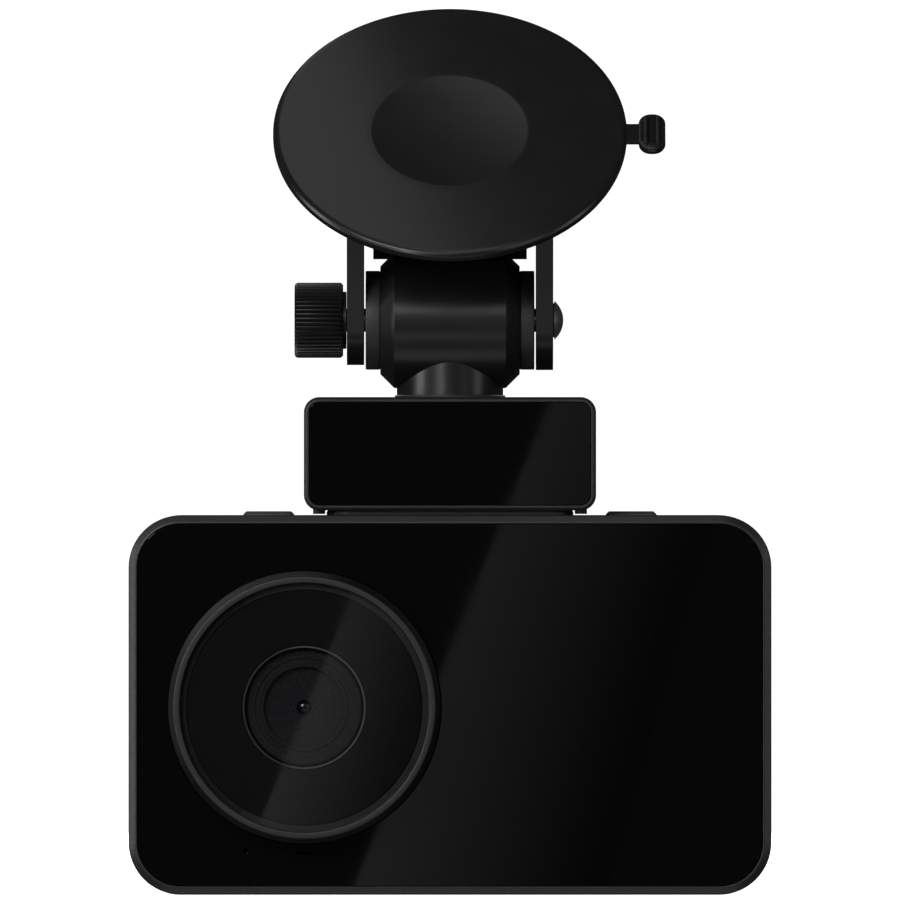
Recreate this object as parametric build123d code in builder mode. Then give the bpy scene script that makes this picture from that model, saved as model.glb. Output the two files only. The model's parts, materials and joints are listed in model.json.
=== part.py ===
from build123d import *

import os
from math import cos, radians, sin

# Dash camera: a wide camera body, a receiver module docked on its top, and a suction mount.
# Millimetres, +Z up. The lens faces -Y. The origin is the centre of the body's flat underside.

# ---------------------------------------------------------------- driving dimensions
# camera body
body_width = 83.0
body_height = 49.0
body_depth = 21.0            # the two shells, without the lens turret
corner_radius = 6.75
rear_round = 1.5             # rounding of the rear edge
wall = 1.6
rim_width = 1.07             # front frame's rim beside the glass
rim_land = 0.2               # flat part of that rim, the rest is bevelled
rim_bevel = 0.5              # how far the bevel falls back
frame_depth = 3.6            # front frame, front to back
front_wall = 1.5             # front frame's wall behind the glass
glass_thickness = 0.8
glass_inset = 0.1            # a glass lies this far below its rim
glass_gap = 0.08             # glue gap round a glass
lip_thickness = 0.7          # tongue of the front frame inside the rear housing
lip_depth = 1.0
fit_gap = 0.05               # between fixed pieces that slot together
tight = 0.02                 # round screws, pins and contacts that sit tight in their holes

# lens
lens_x = -18.8
lens_drop = 0.3              # lens axis below the body's middle
turret_base_radius = 17.64
turret_taper = 0.7
turret_height = 6.0          # in front of the body
turret_lip = 0.84            # ring of the turret's face outside the cover glass
cover_glass_seat = 0.8       # width of the ledge that the cover glass lies on
cover_glass_thickness = 1.2
cover_glass_inset = 0.3
turret_flange_width = 0.76   # beyond the hole in the front wall
turret_flange = 1.1
lug_reach = 1.96             # lug centre beyond that hole
lug_radius = 2.2
lug_angles = (30, 150, 300)
accent_radius = 7.96
accent_width = 0.26
accent_depth = 0.6
hood_thickness = 0.9
lens_barrel_radius = 7.4
lens_barrel_length = 12.6
lens_barrel_gap = 0.5        # behind the hood
lens_bore = 5.65             # in front of the stop
lens_rear_bore = 3.6         # behind it
lens_lip = (0.4, 0.3)        # lip that holds the front element: width, thickness
stop_depth = 4.0             # front of the stop behind the front of the barrel
stop_thickness = 0.6
stop_bevel = 1.4
pupil_radius = 1.55
front_lens = (5.2, 1.45)     # radius and sag of the domed face
front_lens_shelf = 0.05      # top of the dome behind the barrel's lip
rear_lenses = ((0.8, 2.0), (4.0, 2.4))  # distance behind the stop, thickness
holder_plate = 1.2
holder_tube_radius = 9.4
holder_length = 8.45
holder_foot = 2.0            # square foot that the sensor board is glued to
sensor_board_side = 20.0
sensor_board_thickness = 0.8
sensor_size = (9.0, 6.75, 0.9)
lens_screw_head = 1.0
mic_x = -26.4
mic_z = 5.65
mic_hole_radius = 0.35
status_slot = (2.1, 0.3)     # length, height
status_slot_z = 5.4

# boards and what they carry
board_from_rear = 6.5        # main board's front face, from the body's rear face
board_thickness = 1.0
board_edge_gap = 1.0
column_radius = 2.3
column_inset = 2.8           # column centre from the inner face of the body's side
column_low = 9.5
column_high = 3.8            # upper column centre below the inner face of the body's top
column_clearance = 0.3
screw_radius = 0.8
screw_head_radius = 1.5
screw_head = 1.2
screw_slot = (1.6, 0.35, 0.6)  # length, width, depth of the cross in a screw head
board_corner = 3.0
board_boss_radius = 1.6
board_boss_inset = 2.6       # boss centre from the inner face of the body's side
board_boss_spots = ((-1, 25.4), (1, 37.4), (1, 2.4))  # side, height above the inner floor
board_boss_floor = 0.5       # left under a screw hole
board_screw_head = (1.3, 0.8)
board_screw_length = 3.5
screen_glass_side = 2.7      # screen glass from the body's side
screen_glass_top = 1.8       # below the body's top
screen_glass_foot = 6.6      # above the body's underside
screen_glass_thickness = 0.8
lcd_margin = 0.5             # display inside the outline of the glass, at its top and bottom
lcd_depth = 2.35
lcd_lap = (1.05, 0.8)        # ledge that the display lies on, at each side
lcd_gap = 0.2
processor_side = 14.0
processor_height = 1.4
processor_x = 13.0
spreader_size = (22.0, 18.0, 1.5)
spreader_rise = 2.2          # above the capacitors
spreader_foot = (1.6, 2.0)   # width of a foot, and how far the feet stop short at each end
capacitor_radius = 4.0
capacitor_length = 20.0
capacitor_x = 18.0
capacitor_gap = 0.4          # between the two
capacitor_rise = 0.3         # above the speaker
capacitor_lift = 0.2         # in front of the board
speaker_size = (16.0, 8.0, 3.5)
speaker_x = 16.0
speaker_slot = (0.8, 1.8, 6) # width, pitch, number
card_size = (15.0, 0.8, 11.0)
card_z = 30.0
card_proud = 0.1
card_gap = 0.15
card_socket_depth = 2.1
card_socket_margin = 1.2
usb_size = (7.4, 3.2, 8.9)   # depth, thickness, width
usb_sheet = 0.35             # metal of its shell
usb_back = 1.2               # closed end
usb_tongue = (0.7, 6.7)      # thickness, width
usb_tongue_inset = 0.6       # tongue behind the shell's mouth
usb_sunk = 0.3               # mouth below the outside of the housing
usb_opening = 0.2            # gap round it in the housing
usb_z = 19.5

# keys
key_travel = 0.3
switch_play = 0.1            # left before a fully pressed key meets its switch's body
button_x = 23.45
button_length = 6.6
button_depth = 4.0
button_proud = 0.5
button_back = 2.5            # button centre behind the body's middle
key_count = 4
key_pitch = 15.0
key_length = 9.0
key_height = 2.6
key_z = 4.2
key_proud = 0.4
key_gap = 0.15
key_flange = 0.6

# dock on top of the camera
plate_width = 31.9
plate_depth = 12.5
plate_proud = 0.55
plate_sunk = 0.6
plate_corner = 3.0
contact_count = 5
contact_pitch = 2.5
contact_radius = 0.9
magnet_x = 11.0
magnet_radius = 3.0
magnet_height = 2.0

# receiver module
module_width = 37.75
module_height = 14.65
module_depth = 18.0
module_corner = 2.0
module_wall = 1.4
module_lift = 0.61           # module underside above the camera's top
module_frame_depth = 2.0
module_rim = 0.62
rail_width = 1.55
rail_gap = 0.2
rail_clearance = 0.15        # rail foot above the camera's top
module_board_rise = 6.2      # board underside above the module's underside
module_board_thickness = 0.8
antenna_side = 11.4
antenna_height = 4.0
pogo_radius = 0.8
pogo_tip_radius = 0.45

# swivel
neck_radius = 6.88
barrel_radius = 8.78
neck_show = 1.16             # least height of neck that shows under the barrel
barrel_half = 9.02
barrel_chamfer = 1.8
washer_margin = 0.27         # beyond the neck
washer_thickness = 0.2
pivot_radius = 4.0
running = 0.05               # radial clearance of every turning fit
retainer_head = (1.2, 1.2)   # beyond the pivot, thickness
retainer_nose = (2.4, 1.0)   # radius, thickness
retainer_screw = (1.2, 6.5)  # radius, length
disc_margin = 0.58           # inside the flat end of the barrel
disc_thickness = 1.9

# suction mount
arm_gap = 0.17               # between a friction disc and its arm
arm_thickness = 2.25
arm_radius_left = 5.8
arm_radius_right = 6.45
arm_lean = 30.0              # between the arms and the pad's axis
pad_tilt = 45.0              # pad face, from facing straight up towards the front
pad_stand_off = 16.32        # pad's face beyond the barrel's radius, along the pad's axis
pad_rise_gap = 0.76          # pad's axis beyond the barrel's radius, along the pad
pad_radius = 22.85
pad_thickness = 1.46
pad_dimple_radius = 10.29
pad_dimple_depth = 0.7
pad_boss_radius = 10.0
pad_boss = 1.2
tab_neck = (1.5, 3.3, 0.74)
tab_head = (3.46, 6.6, 1.1)
tab_rib = (0.5, 5.2, 0.5)
tab_rib_pitch = 1.55
tab_root = 1.9               # length of neck inside the pad
tab_corner = 1.6
housing_inset = 1.35         # housing inside the pad's edge
housing_back_radius = 15.0
housing_height = 6.54        # behind the pad
housing_wall = 1.8
housing_rim = 1.1
stud_radius = 3.0
stud_plate_radius = 8.5
stud_plate = 1.2
stud_travel = 1.2
stud_beyond_pin = 2.8
lever_pivot = 14.0           # lever's pin behind the pad's face
lever_pin_radius = 1.25
cam_gap = 0.6                # between the cam and the housing
lever_side_gap = 1.14        # between the lever and an arm
lever_head_end = 24.04       # step between head and handle, behind the pad's face
lever_head_depth = 4.6
lever_handle_width = 16.0
lever_handle_length = 12.5
lever_handle_depth = 3.4
lever_handle_step = 0.5      # handle set back from the head's face
lever_handle_root = 2.0      # handle inside the head
lever_handle_round = 1.2
lever_end_round = 1.0
lever_pin_inset = 0.6        # pin's end inside the lever's side
lever_slot = 6.7
lever_slot_depth = 4.6       # slot past the pin, away from the pad
clamp_screw_radius = 1.5
dome_radius = 2.54
dome_height = 1.17
dome_gap = 0.15              # between the dome and its arm
dome_neck = 0.4              # neck inside the dome's rim
knob_radius = 4.88
knob_length = 6.3
knob_collar_radius = 3.7
knob_collar = 0.42
knob_ribs = 30
knob_rib = 0.5
knob_floor = 1.2             # screw's end inside the knob's outer face
nut_across_flats = 5.4
nut_height = 2.4
nut_play = 0.1

# ---------------------------------------------------------------- places that follow from them
front_y = -body_depth / 2
rear_y = body_depth / 2
lens_z = body_height / 2 - lens_drop
glass_floor_y = front_y + glass_inset + glass_thickness
front_wall_back_y = glass_floor_y + front_wall
shell_split_y = front_y + frame_depth
rear_wall_y = rear_y - wall
inner_width = body_width - 2 * wall
inner_height = body_height - 2 * wall
column_x = body_width / 2 - wall - column_inset
column_top = body_height - wall - column_high
column_places = [
    (side * column_x, z) for side in (-1, 1) for z in (column_low, column_top)
]
boss_x = body_width / 2 - wall - board_boss_inset
board_boss_places = [(side * boss_x, wall + rise) for side, rise in board_boss_spots]
board_boss_places_back = [(-x, z) for x, z in board_boss_places]
board_front = rear_y - board_from_rear
board_back = board_front + board_thickness
turret_front_radius = turret_base_radius - turret_taper
cover_glass_radius = turret_front_radius - turret_lip
turret_bore = cover_glass_radius - cover_glass_seat
turret_flange_radius = turret_base_radius + turret_flange_width
lug_circle = turret_base_radius + lug_reach
lug_places = [
    (lens_x + lug_circle * cos(radians(a)), lens_z + lug_circle * sin(radians(a))) for a in lug_angles
]
turret_front_y = front_y - turret_height
turret_flange_y = front_wall_back_y + turret_flange
cover_glass_y = turret_front_y + cover_glass_inset
hood_y = cover_glass_y + cover_glass_thickness
lens_barrel_y = hood_y + hood_thickness + lens_barrel_gap
stop_y = lens_barrel_y + stop_depth
screen_glass_size = (
    body_width - 2 * screen_glass_side,
    body_height - screen_glass_top - screen_glass_foot,
)
screen_z = body_height - screen_glass_top - screen_glass_size[1] / 2
lcd_size = (
    body_width - 2 * (wall + column_inset + column_radius + fit_gap),
    screen_glass_size[1] - 2 * lcd_margin,
)
lcd_window = [size - 2 * lap for size, lap in zip(lcd_size, lcd_lap)]
screen_floor_y = rear_y - screen_glass_thickness - glass_inset
speaker_top = wall + speaker_size[2]
capacitor_pitch = 2 * capacitor_radius + capacitor_gap
capacitor_z = speaker_top + capacitor_rise + capacitor_radius + capacitor_pitch / 2
capacitor_top = capacitor_z + capacitor_pitch / 2 + capacitor_radius
processor_z = capacitor_top + spreader_rise + spreader_size[1] / 2
key_places = [(i - (key_count - 1) / 2) * key_pitch for i in range(key_count)]
card_y = board_front - card_socket_depth / 2
switch_gap = key_travel + switch_play
card_end_x = body_width / 2 + card_proud
usb_place = (board_front - usb_size[1] / 2 - 0.1, usb_z)

plate_top = body_height + plate_proud
contact_places = [(i - (contact_count - 1) / 2) * contact_pitch for i in range(contact_count)]
module_bottom = body_height + module_lift
module_top = module_bottom + module_height
module_z = module_bottom + module_height / 2
module_front_y = -module_depth / 2
module_split_y = module_front_y + module_frame_depth
module_inner = (module_width - 2 * module_wall, module_height - 2 * module_wall)
module_board_z = module_bottom + module_board_rise
module_board_top = module_board_z + module_board_thickness

axis_z = module_top + barrel_radius + neck_show
disc_radius = barrel_radius - barrel_chamfer - disc_margin
arm_inner = barrel_half + disc_thickness + arm_gap
arm_outer = arm_inner + arm_thickness
lever_width = 2 * (arm_inner - lever_side_gap)
housing_radius = pad_radius - housing_inset
pad_reach = barrel_radius + pad_stand_off
pad_rise = barrel_radius + pad_rise_gap
tilt = radians(pad_tilt)
pad_normal = (0, -sin(tilt), cos(tilt))
pad_up = (0, cos(tilt), sin(tilt))
pad_y = pad_reach * pad_normal[1] + pad_rise * pad_up[1]
pad_z = axis_z + pad_reach * pad_normal[2] + pad_rise * pad_up[2]
housing_back = pad_thickness + housing_height
cam_radius = lever_pivot - housing_back - cam_gap
lever_head_length = lever_head_end - lever_pivot

os.makedirs("parts", exist_ok=True)


# ---------------------------------------------------------------- working planes
def front(y):
    """Plane that faces the front at the given y: its own x is X, its own y is Z."""
    return Plane(origin=(0, y, 0), x_dir=(1, 0, 0), z_dir=(0, -1, 0))


def back(y):
    """Plane that faces the rear at the given y: its own x is -X, its own y is Z."""
    return Plane(origin=(0, y, 0), x_dir=(-1, 0, 0), z_dir=(0, 1, 0))


def across(x):
    """Plane that faces +X at the given x: its own x is Y, its own y is Z."""
    return Plane(origin=(x, 0, 0), x_dir=(0, 1, 0), z_dir=(1, 0, 0))


def on_pad(height):
    """Plane of the suction pad, moved along its normal: its own x is X, its own y climbs the pad."""
    centre = [o + height * n for o, n in zip((0, pad_y, pad_z), pad_normal)]
    return Plane(origin=tuple(centre), x_dir=(1, 0, 0), z_dir=pad_normal)


def beside_pad(x=0):
    """Plane through the pad's axis that faces +X: its own x climbs the pad, its own y is the normal."""
    return Plane(origin=(x, pad_y, pad_z), x_dir=pad_up, z_dir=(1, 0, 0))


lens_axis = Axis((lens_x, 0, lens_z), (0, 1, 0))
lens_section = Plane(origin=(lens_x, 0, lens_z), x_dir=(1, 0, 0), z_dir=(0, 0, 1))
pad_axis = Axis((0, pad_y, pad_z), pad_normal)
pad_section = Plane(origin=(0, pad_y, pad_z), x_dir=(1, 0, 0), z_dir=(0, -cos(tilt), -sin(tilt)))


# ---------------------------------------------------------------- camera shells
def shell_outline(inset, mode=Mode.ADD):
    """The body's rounded outline, drawn inset by the same amount all round."""
    with Locations((0, body_height / 2)):
        RectangleRounded(
            body_width - 2 * inset, body_height - 2 * inset, corner_radius - inset, mode=mode
        )


with BuildPart() as front_frame:
    with BuildSketch(front(shell_split_y)):
        shell_outline(0)
    extrude(amount=frame_depth - rim_bevel)
    with BuildSketch(front(front_y + rim_bevel)):
        shell_outline(0)
    with BuildSketch(front(front_y)):
        shell_outline(rim_width - rim_land)
    loft()
    with BuildSketch(front(front_y)):
        shell_outline(rim_width)
    extrude(amount=-(glass_floor_y - front_y), mode=Mode.SUBTRACT)
    with BuildSketch(front(shell_split_y)):
        shell_outline(wall)
    extrude(amount=shell_split_y - front_wall_back_y, mode=Mode.SUBTRACT)
    # tongue that locates the rear housing
    with BuildSketch(front(shell_split_y + lip_depth)):
        shell_outline(wall - lip_thickness)
        shell_outline(wall, mode=Mode.SUBTRACT)
    extrude(amount=lip_depth)
    # bosses for the case screws
    with BuildSketch(front(shell_split_y)):
        with Locations(*column_places):
            Circle(column_radius)
    extrude(amount=shell_split_y - front_wall_back_y)
    with BuildSketch(front(shell_split_y)):
        with Locations(*column_places):
            Circle(screw_radius + tight)
    extrude(amount=shell_split_y - front_wall_back_y, mode=Mode.SUBTRACT)
    # lens hole, screw holes for the lens, microphone hole and status slot
    with BuildSketch(front(front_wall_back_y)):
        with Locations((lens_x, lens_z)):
            Circle(turret_base_radius)
        with Locations(*lug_places):
            Circle(screw_radius + tight)
        with Locations((mic_x, mic_z)):
            Circle(mic_hole_radius)
        with Locations((lens_x, status_slot_z)):
            SlotOverall(*status_slot)
    extrude(amount=front_wall, mode=Mode.SUBTRACT)
front_frame.part.label = "front_frame"
export_step(front_frame.part, "parts/front_frame.step")

with BuildPart() as front_glass:
    with BuildSketch(front(glass_floor_y)):
        shell_outline(rim_width + glass_gap)
        with Locations((lens_x, lens_z)):
            Circle(turret_base_radius + glass_gap, mode=Mode.SUBTRACT)
        with Locations((mic_x, mic_z)):
            Circle(mic_hole_radius, mode=Mode.SUBTRACT)
        with Locations((lens_x, status_slot_z)):
            SlotOverall(*status_slot, mode=Mode.SUBTRACT)
    extrude(amount=glass_thickness)
front_glass.part.label = "front_glass"
export_step(front_glass.part, "parts/front_glass.step")


with BuildPart() as rear_housing:
    with BuildSketch(back(shell_split_y)):
        shell_outline(0)
    extrude(amount=rear_y - shell_split_y)
    fillet(rear_housing.edges().group_by(Axis.Y)[-1], rear_round)
    with BuildSketch(back(shell_split_y)):
        shell_outline(wall)
    extrude(amount=rear_wall_y - shell_split_y, mode=Mode.SUBTRACT)
    # rebate for the front frame's tongue
    with BuildSketch(back(shell_split_y)):
        shell_outline(wall - lip_thickness - fit_gap)
    extrude(amount=lip_depth + fit_gap, mode=Mode.SUBTRACT)
    # columns for the case screws and bosses for the main board
    with BuildSketch(back(shell_split_y)):
        with Locations(*column_places):
            Circle(column_radius)
    extrude(amount=rear_wall_y - shell_split_y)
    with BuildSketch(back(board_back)):
        with Locations(*board_boss_places_back):
            Circle(board_boss_radius)
    extrude(amount=rear_wall_y - board_back)
    with BuildSketch(back(board_back)):
        with Locations(*board_boss_places_back):
            Circle(screw_radius + tight)
    extrude(amount=rear_wall_y - board_back - board_boss_floor, mode=Mode.SUBTRACT)
    # screen glass recess and window, case screw holes with their head recesses
    with BuildSketch(back(screen_floor_y)):
        with Locations((0, screen_z)):
            RectangleRounded(screen_glass_size[0], screen_glass_size[1], corner_radius - wall)
    extrude(amount=rear_y - screen_floor_y, mode=Mode.SUBTRACT)
    with BuildSketch(back(rear_wall_y)):
        with Locations((0, screen_z)):
            Rectangle(*lcd_window)
    extrude(amount=wall, mode=Mode.SUBTRACT)
    with BuildSketch(back(shell_split_y)):
        with Locations(*column_places):
            Circle(screw_radius + tight)
    extrude(amount=rear_y - shell_split_y, mode=Mode.SUBTRACT)
    with BuildSketch(back(screen_floor_y - screw_head - 0.1)):
        with Locations(*column_places):
            Circle(screw_head_radius + fit_gap)
    extrude(amount=screw_head + 0.1, mode=Mode.SUBTRACT)
    # rear key openings
    with BuildSketch(back(rear_wall_y)):
        with Locations(*[(x, key_z) for x in key_places]):
            SlotOverall(key_length + 2 * key_gap, key_height + 2 * key_gap)
    extrude(amount=wall, mode=Mode.SUBTRACT)
    # top button openings, contact plate recess and contact holes
    with BuildSketch(Plane.XY.offset(body_height - wall)):
        with Locations((-button_x, button_back), (button_x, button_back)):
            RectangleRounded(button_length + 2 * key_gap, button_depth + 2 * key_gap, 0.8)
    extrude(amount=wall, mode=Mode.SUBTRACT)
    with BuildSketch(Plane.XY.offset(body_height - plate_sunk)):
        RectangleRounded(plate_width + 2 * fit_gap, plate_depth + 2 * fit_gap, plate_corner)
    extrude(amount=plate_sunk, mode=Mode.SUBTRACT)
    with BuildSketch(Plane.XY.offset(body_height - wall)):
        with Locations(*[(x, 0) for x in contact_places]):
            Circle(contact_radius + tight)
    extrude(amount=wall, mode=Mode.SUBTRACT)
    # memory card slot on the right, USB opening on the left, speaker slots underneath
    with BuildSketch(across(body_width / 2 - wall)):
        with Locations((card_y, card_z)):
            SlotOverall(card_size[2] + 4 * card_gap, card_size[1] + 4 * card_gap, rotation=90)
    extrude(amount=wall, mode=Mode.SUBTRACT)
    with BuildSketch(across(-body_width / 2)):
        with Locations(usb_place):
            SlotOverall(usb_size[2] + 2 * usb_opening, usb_size[1] + 2 * usb_opening, rotation=90)
    extrude(amount=wall, mode=Mode.SUBTRACT)
    with BuildSketch(Plane.XY):
        with Locations((speaker_x, 0)):
            with GridLocations(speaker_slot[1], 1, speaker_slot[2], 1):
                SlotOverall(speaker_size[1] - 1.5, speaker_slot[0], rotation=90)
    extrude(amount=wall, mode=Mode.SUBTRACT)
rear_housing.part.label = "rear_housing"
export_step(rear_housing.part, "parts/rear_housing.step")

with BuildPart() as screen_glass:
    with BuildSketch(back(screen_floor_y)):
        with Locations((0, screen_z)):
            RectangleRounded(
                screen_glass_size[0] - 2 * glass_gap,
                screen_glass_size[1] - 2 * glass_gap,
                corner_radius - wall - glass_gap,
            )
    extrude(amount=screen_glass_thickness)
screen_glass.part.label = "screen_glass"
export_step(screen_glass.part, "parts/screen_glass.step")

with BuildPart() as lcd_module:
    with BuildSketch(back(rear_wall_y - lcd_depth)):
        with Locations((0, screen_z)):
            Rectangle(*lcd_size)
    extrude(amount=lcd_depth)
    # the cell stands up into the window
    with BuildSketch(back(rear_wall_y)):
        with Locations((0, screen_z)):
            Rectangle(lcd_window[0] - 2 * lcd_gap, lcd_window[1] - 2 * lcd_gap)
    extrude(amount=screen_floor_y - rear_wall_y - fit_gap)
lcd_module.part.label = "lcd_module"
export_step(lcd_module.part, "parts/lcd_module.step")

with BuildPart() as case_screws:
    head_y = screen_floor_y - 0.1
    with BuildSketch(front(head_y)):
        with Locations(*column_places):
            Circle(screw_head_radius)
    extrude(amount=screw_head)
    with BuildSketch(front(head_y)):
        with Locations(*column_places):
            Circle(screw_radius)
    extrude(amount=head_y - front_wall_back_y - 0.4)
    with BuildSketch(front(head_y)):
        with Locations(*column_places):
            Rectangle(screw_slot[0], screw_slot[1])
            Rectangle(screw_slot[1], screw_slot[0])
    extrude(amount=screw_slot[2], mode=Mode.SUBTRACT)
case_screws.part.label = "case_screws"
export_step(case_screws.part, "parts/case_screws.step")

# ---------------------------------------------------------------- lens
with BuildPart() as lens_turret:
    with BuildSketch(lens_section):
        with BuildLine():
            Polyline(
                (turret_bore, turret_flange_y),
                (turret_flange_radius, turret_flange_y),
                (turret_flange_radius, front_wall_back_y),
                (turret_base_radius - fit_gap, front_wall_back_y),
                (turret_base_radius - fit_gap, front_y),
                (turret_front_radius, turret_front_y),
                (cover_glass_radius, turret_front_y),
                (cover_glass_radius, hood_y),
                (turret_bore, hood_y),
                close=True,
            )
        make_face()
    revolve(axis=lens_axis)
    with BuildSketch(front(turret_flange_y)):
        with Locations(*lug_places):
            Circle(lug_radius)
        with Locations((lens_x, lens_z)):
            Circle(turret_bore + 1, mode=Mode.SUBTRACT)
    extrude(amount=turret_flange)
    with BuildSketch(front(turret_flange_y)):
        with Locations(*lug_places):
            Circle(screw_radius + tight)
    extrude(amount=turret_flange, mode=Mode.SUBTRACT)
lens_turret.part.label = "lens_turret"
export_step(lens_turret.part, "parts/lens_turret.step")

with BuildPart() as lens_cover_glass:
    with BuildSketch(front(hood_y)):
        with Locations((lens_x, lens_z)):
            Circle(cover_glass_radius - fit_gap)
    extrude(amount=cover_glass_thickness)
lens_cover_glass.part.label = "lens_cover_glass"
export_step(lens_cover_glass.part, "parts/lens_cover_glass.step")

with BuildPart() as lens_hood:
    with BuildSketch(front(hood_y + hood_thickness)):
        with Locations((lens_x, lens_z)):
            Circle(turret_bore - fit_gap)
            Circle(accent_radius, mode=Mode.SUBTRACT)
    extrude(amount=hood_thickness)
lens_hood.part.label = "lens_hood"
export_step(lens_hood.part, "parts/lens_hood.step")

with BuildPart() as lens_accent_ring:
    with BuildSketch(front(hood_y + accent_depth)):
        with Locations((lens_x, lens_z)):
            Circle(accent_radius)
            Circle(accent_radius - accent_width, mode=Mode.SUBTRACT)
    extrude(amount=accent_depth)
lens_accent_ring.part.label = "lens_accent_ring"
export_step(lens_accent_ring.part, "parts/lens_accent_ring.step")

with BuildPart() as lens_barrel:
    with BuildSketch(lens_section):
        with BuildLine():
            Polyline(
                (lens_bore - lens_lip[0], lens_barrel_y),
                (lens_barrel_radius, lens_barrel_y),
                (lens_barrel_radius, lens_barrel_y + lens_barrel_length),
                (lens_rear_bore, lens_barrel_y + lens_barrel_length),
                (lens_rear_bore, stop_y + stop_thickness),
                (pupil_radius, stop_y + stop_thickness),
                (pupil_radius, stop_y + stop_thickness / 2),
                (pupil_radius + stop_bevel, stop_y),
                (lens_bore, stop_y),
                (lens_bore, lens_barrel_y + lens_lip[1]),
                (lens_bore - lens_lip[0], lens_barrel_y + lens_lip[1]),
                close=True,
            )
        make_face()
    revolve(axis=lens_axis)
lens_barrel.part.label = "lens_barrel"
export_step(lens_barrel.part, "parts/lens_barrel.step")

dome_y = lens_barrel_y + front_lens_shelf
dome_edge = (front_lens[0], dome_y + front_lens[1])
dome_curve = (front_lens[0] ** 2 + front_lens[1] ** 2) / (2 * front_lens[1])
front_lens_back_y = stop_y - stop_thickness
with BuildPart() as lens_elements:
    # domed front element
    with BuildSketch(lens_section):
        with BuildLine():
            RadiusArc((0, dome_y), dome_edge, -dome_curve)
            Polyline(
                dome_edge,
                (lens_bore - tight, dome_edge[1]),
                (lens_bore - tight, front_lens_back_y),
                (0, front_lens_back_y),
                (0, dome_y),
            )
        make_face()
    revolve(axis=lens_axis)
    # two inner elements behind the stop
    for distance, thickness in rear_lenses:
        with BuildSketch(front(stop_y + distance + thickness)):
            with Locations((lens_x, lens_z)):
                Circle(lens_rear_bore - tight)
        extrude(amount=thickness)
lens_elements.part.label = "lens_elements"
export_step(lens_elements.part, "parts/lens_elements.step")

holder_back_y = turret_flange_y + holder_length
with BuildPart() as lens_holder:
    with BuildSketch(front(turret_flange_y + holder_plate)):
        with Locations((lens_x, lens_z)):
            Circle(turret_flange_radius)
        with Locations(*lug_places):
            Circle(lug_radius)
            Circle(screw_radius + tight, mode=Mode.SUBTRACT)
    extrude(amount=holder_plate)
    with BuildSketch(front(holder_back_y)):
        with Locations((lens_x, lens_z)):
            Circle(holder_tube_radius)
    extrude(amount=holder_length)
    with BuildSketch(front(holder_back_y)):
        with Locations((lens_x, lens_z)):
            RectangleRounded(sensor_board_side - 1, sensor_board_side - 1, 1)
    extrude(amount=holder_foot)
    with BuildSketch(front(holder_back_y)):
        with Locations((lens_x, lens_z)):
            Circle(lens_barrel_radius + tight)
    extrude(amount=holder_length, mode=Mode.SUBTRACT)
lens_holder.part.label = "lens_holder"
export_step(lens_holder.part, "parts/lens_holder.step")

with BuildPart() as lens_screws:
    lens_screw_head_y = turret_flange_y + holder_plate
    with BuildSketch(front(lens_screw_head_y + lens_screw_head)):
        with Locations(*lug_places):
            Circle(screw_head_radius)
    extrude(amount=lens_screw_head)
    with BuildSketch(front(lens_screw_head_y)):
        with Locations(*lug_places):
            Circle(screw_radius)
    extrude(amount=lens_screw_head_y - glass_floor_y - 0.1)
lens_screws.part.label = "lens_screws"
export_step(lens_screws.part, "parts/lens_screws.step")

with BuildPart() as sensor_board:
    with BuildSketch(front(holder_back_y + sensor_board_thickness)):
        with Locations((lens_x, lens_z)):
            RectangleRounded(sensor_board_side, sensor_board_side, 1)
    extrude(amount=sensor_board_thickness)
sensor_board.part.label = "sensor_board"
export_step(sensor_board.part, "parts/sensor_board.step")

with BuildPart() as image_sensor:
    with BuildSketch(front(holder_back_y)):
        with Locations((lens_x, lens_z)):
            Rectangle(sensor_size[0], sensor_size[1])
    extrude(amount=sensor_size[2])
image_sensor.part.label = "image_sensor"
export_step(image_sensor.part, "parts/image_sensor.step")

# ---------------------------------------------------------------- boards and components
with BuildPart() as main_board:
    with BuildSketch(front(board_back)):
        with Locations((0, body_height / 2)):
            RectangleRounded(
                inner_width - 2 * board_edge_gap, inner_height - 2 * board_edge_gap, board_corner
            )
        with Locations(*column_places):
            Circle(column_radius + column_clearance, mode=Mode.SUBTRACT)
        with Locations(*board_boss_places):
            Circle(screw_radius + fit_gap + running, mode=Mode.SUBTRACT)
    extrude(amount=board_thickness)
main_board.part.label = "main_board"
export_step(main_board.part, "parts/main_board.step")

with BuildPart() as board_screws:
    with BuildSketch(front(board_front)):
        with Locations(*board_boss_places):
            Circle(board_screw_head[0])
    extrude(amount=board_screw_head[1])
    with BuildSketch(back(board_front)):
        with Locations(*board_boss_places_back):
            Circle(screw_radius)
    extrude(amount=board_screw_length)
board_screws.part.label = "board_screws"
export_step(board_screws.part, "parts/board_screws.step")

with BuildPart() as processor:
    with BuildSketch(front(board_front)):
        with Locations((processor_x, processor_z)):
            Rectangle(processor_side, processor_side)
    extrude(amount=processor_height)
processor.part.label = "processor"
export_step(processor.part, "parts/processor.step")

with BuildPart() as heat_spreader:
    with BuildSketch(front(board_front - processor_height)):
        with Locations((processor_x, processor_z)):
            RectangleRounded(spreader_size[0], spreader_size[1], 1)
    extrude(amount=spreader_size[2])
    # folded feet that reach the board on both sides of the processor
    with BuildSketch(front(board_front)):
        with Locations((processor_x, processor_z)):
            with GridLocations(spreader_size[0] - spreader_foot[0] - 0.4, 1, 2, 1):
                Rectangle(spreader_foot[0], spreader_size[1] - 2 * spreader_foot[1])
    extrude(amount=processor_height)
heat_spreader.part.label = "heat_spreader"
export_step(heat_spreader.part, "parts/heat_spreader.step")

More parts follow.
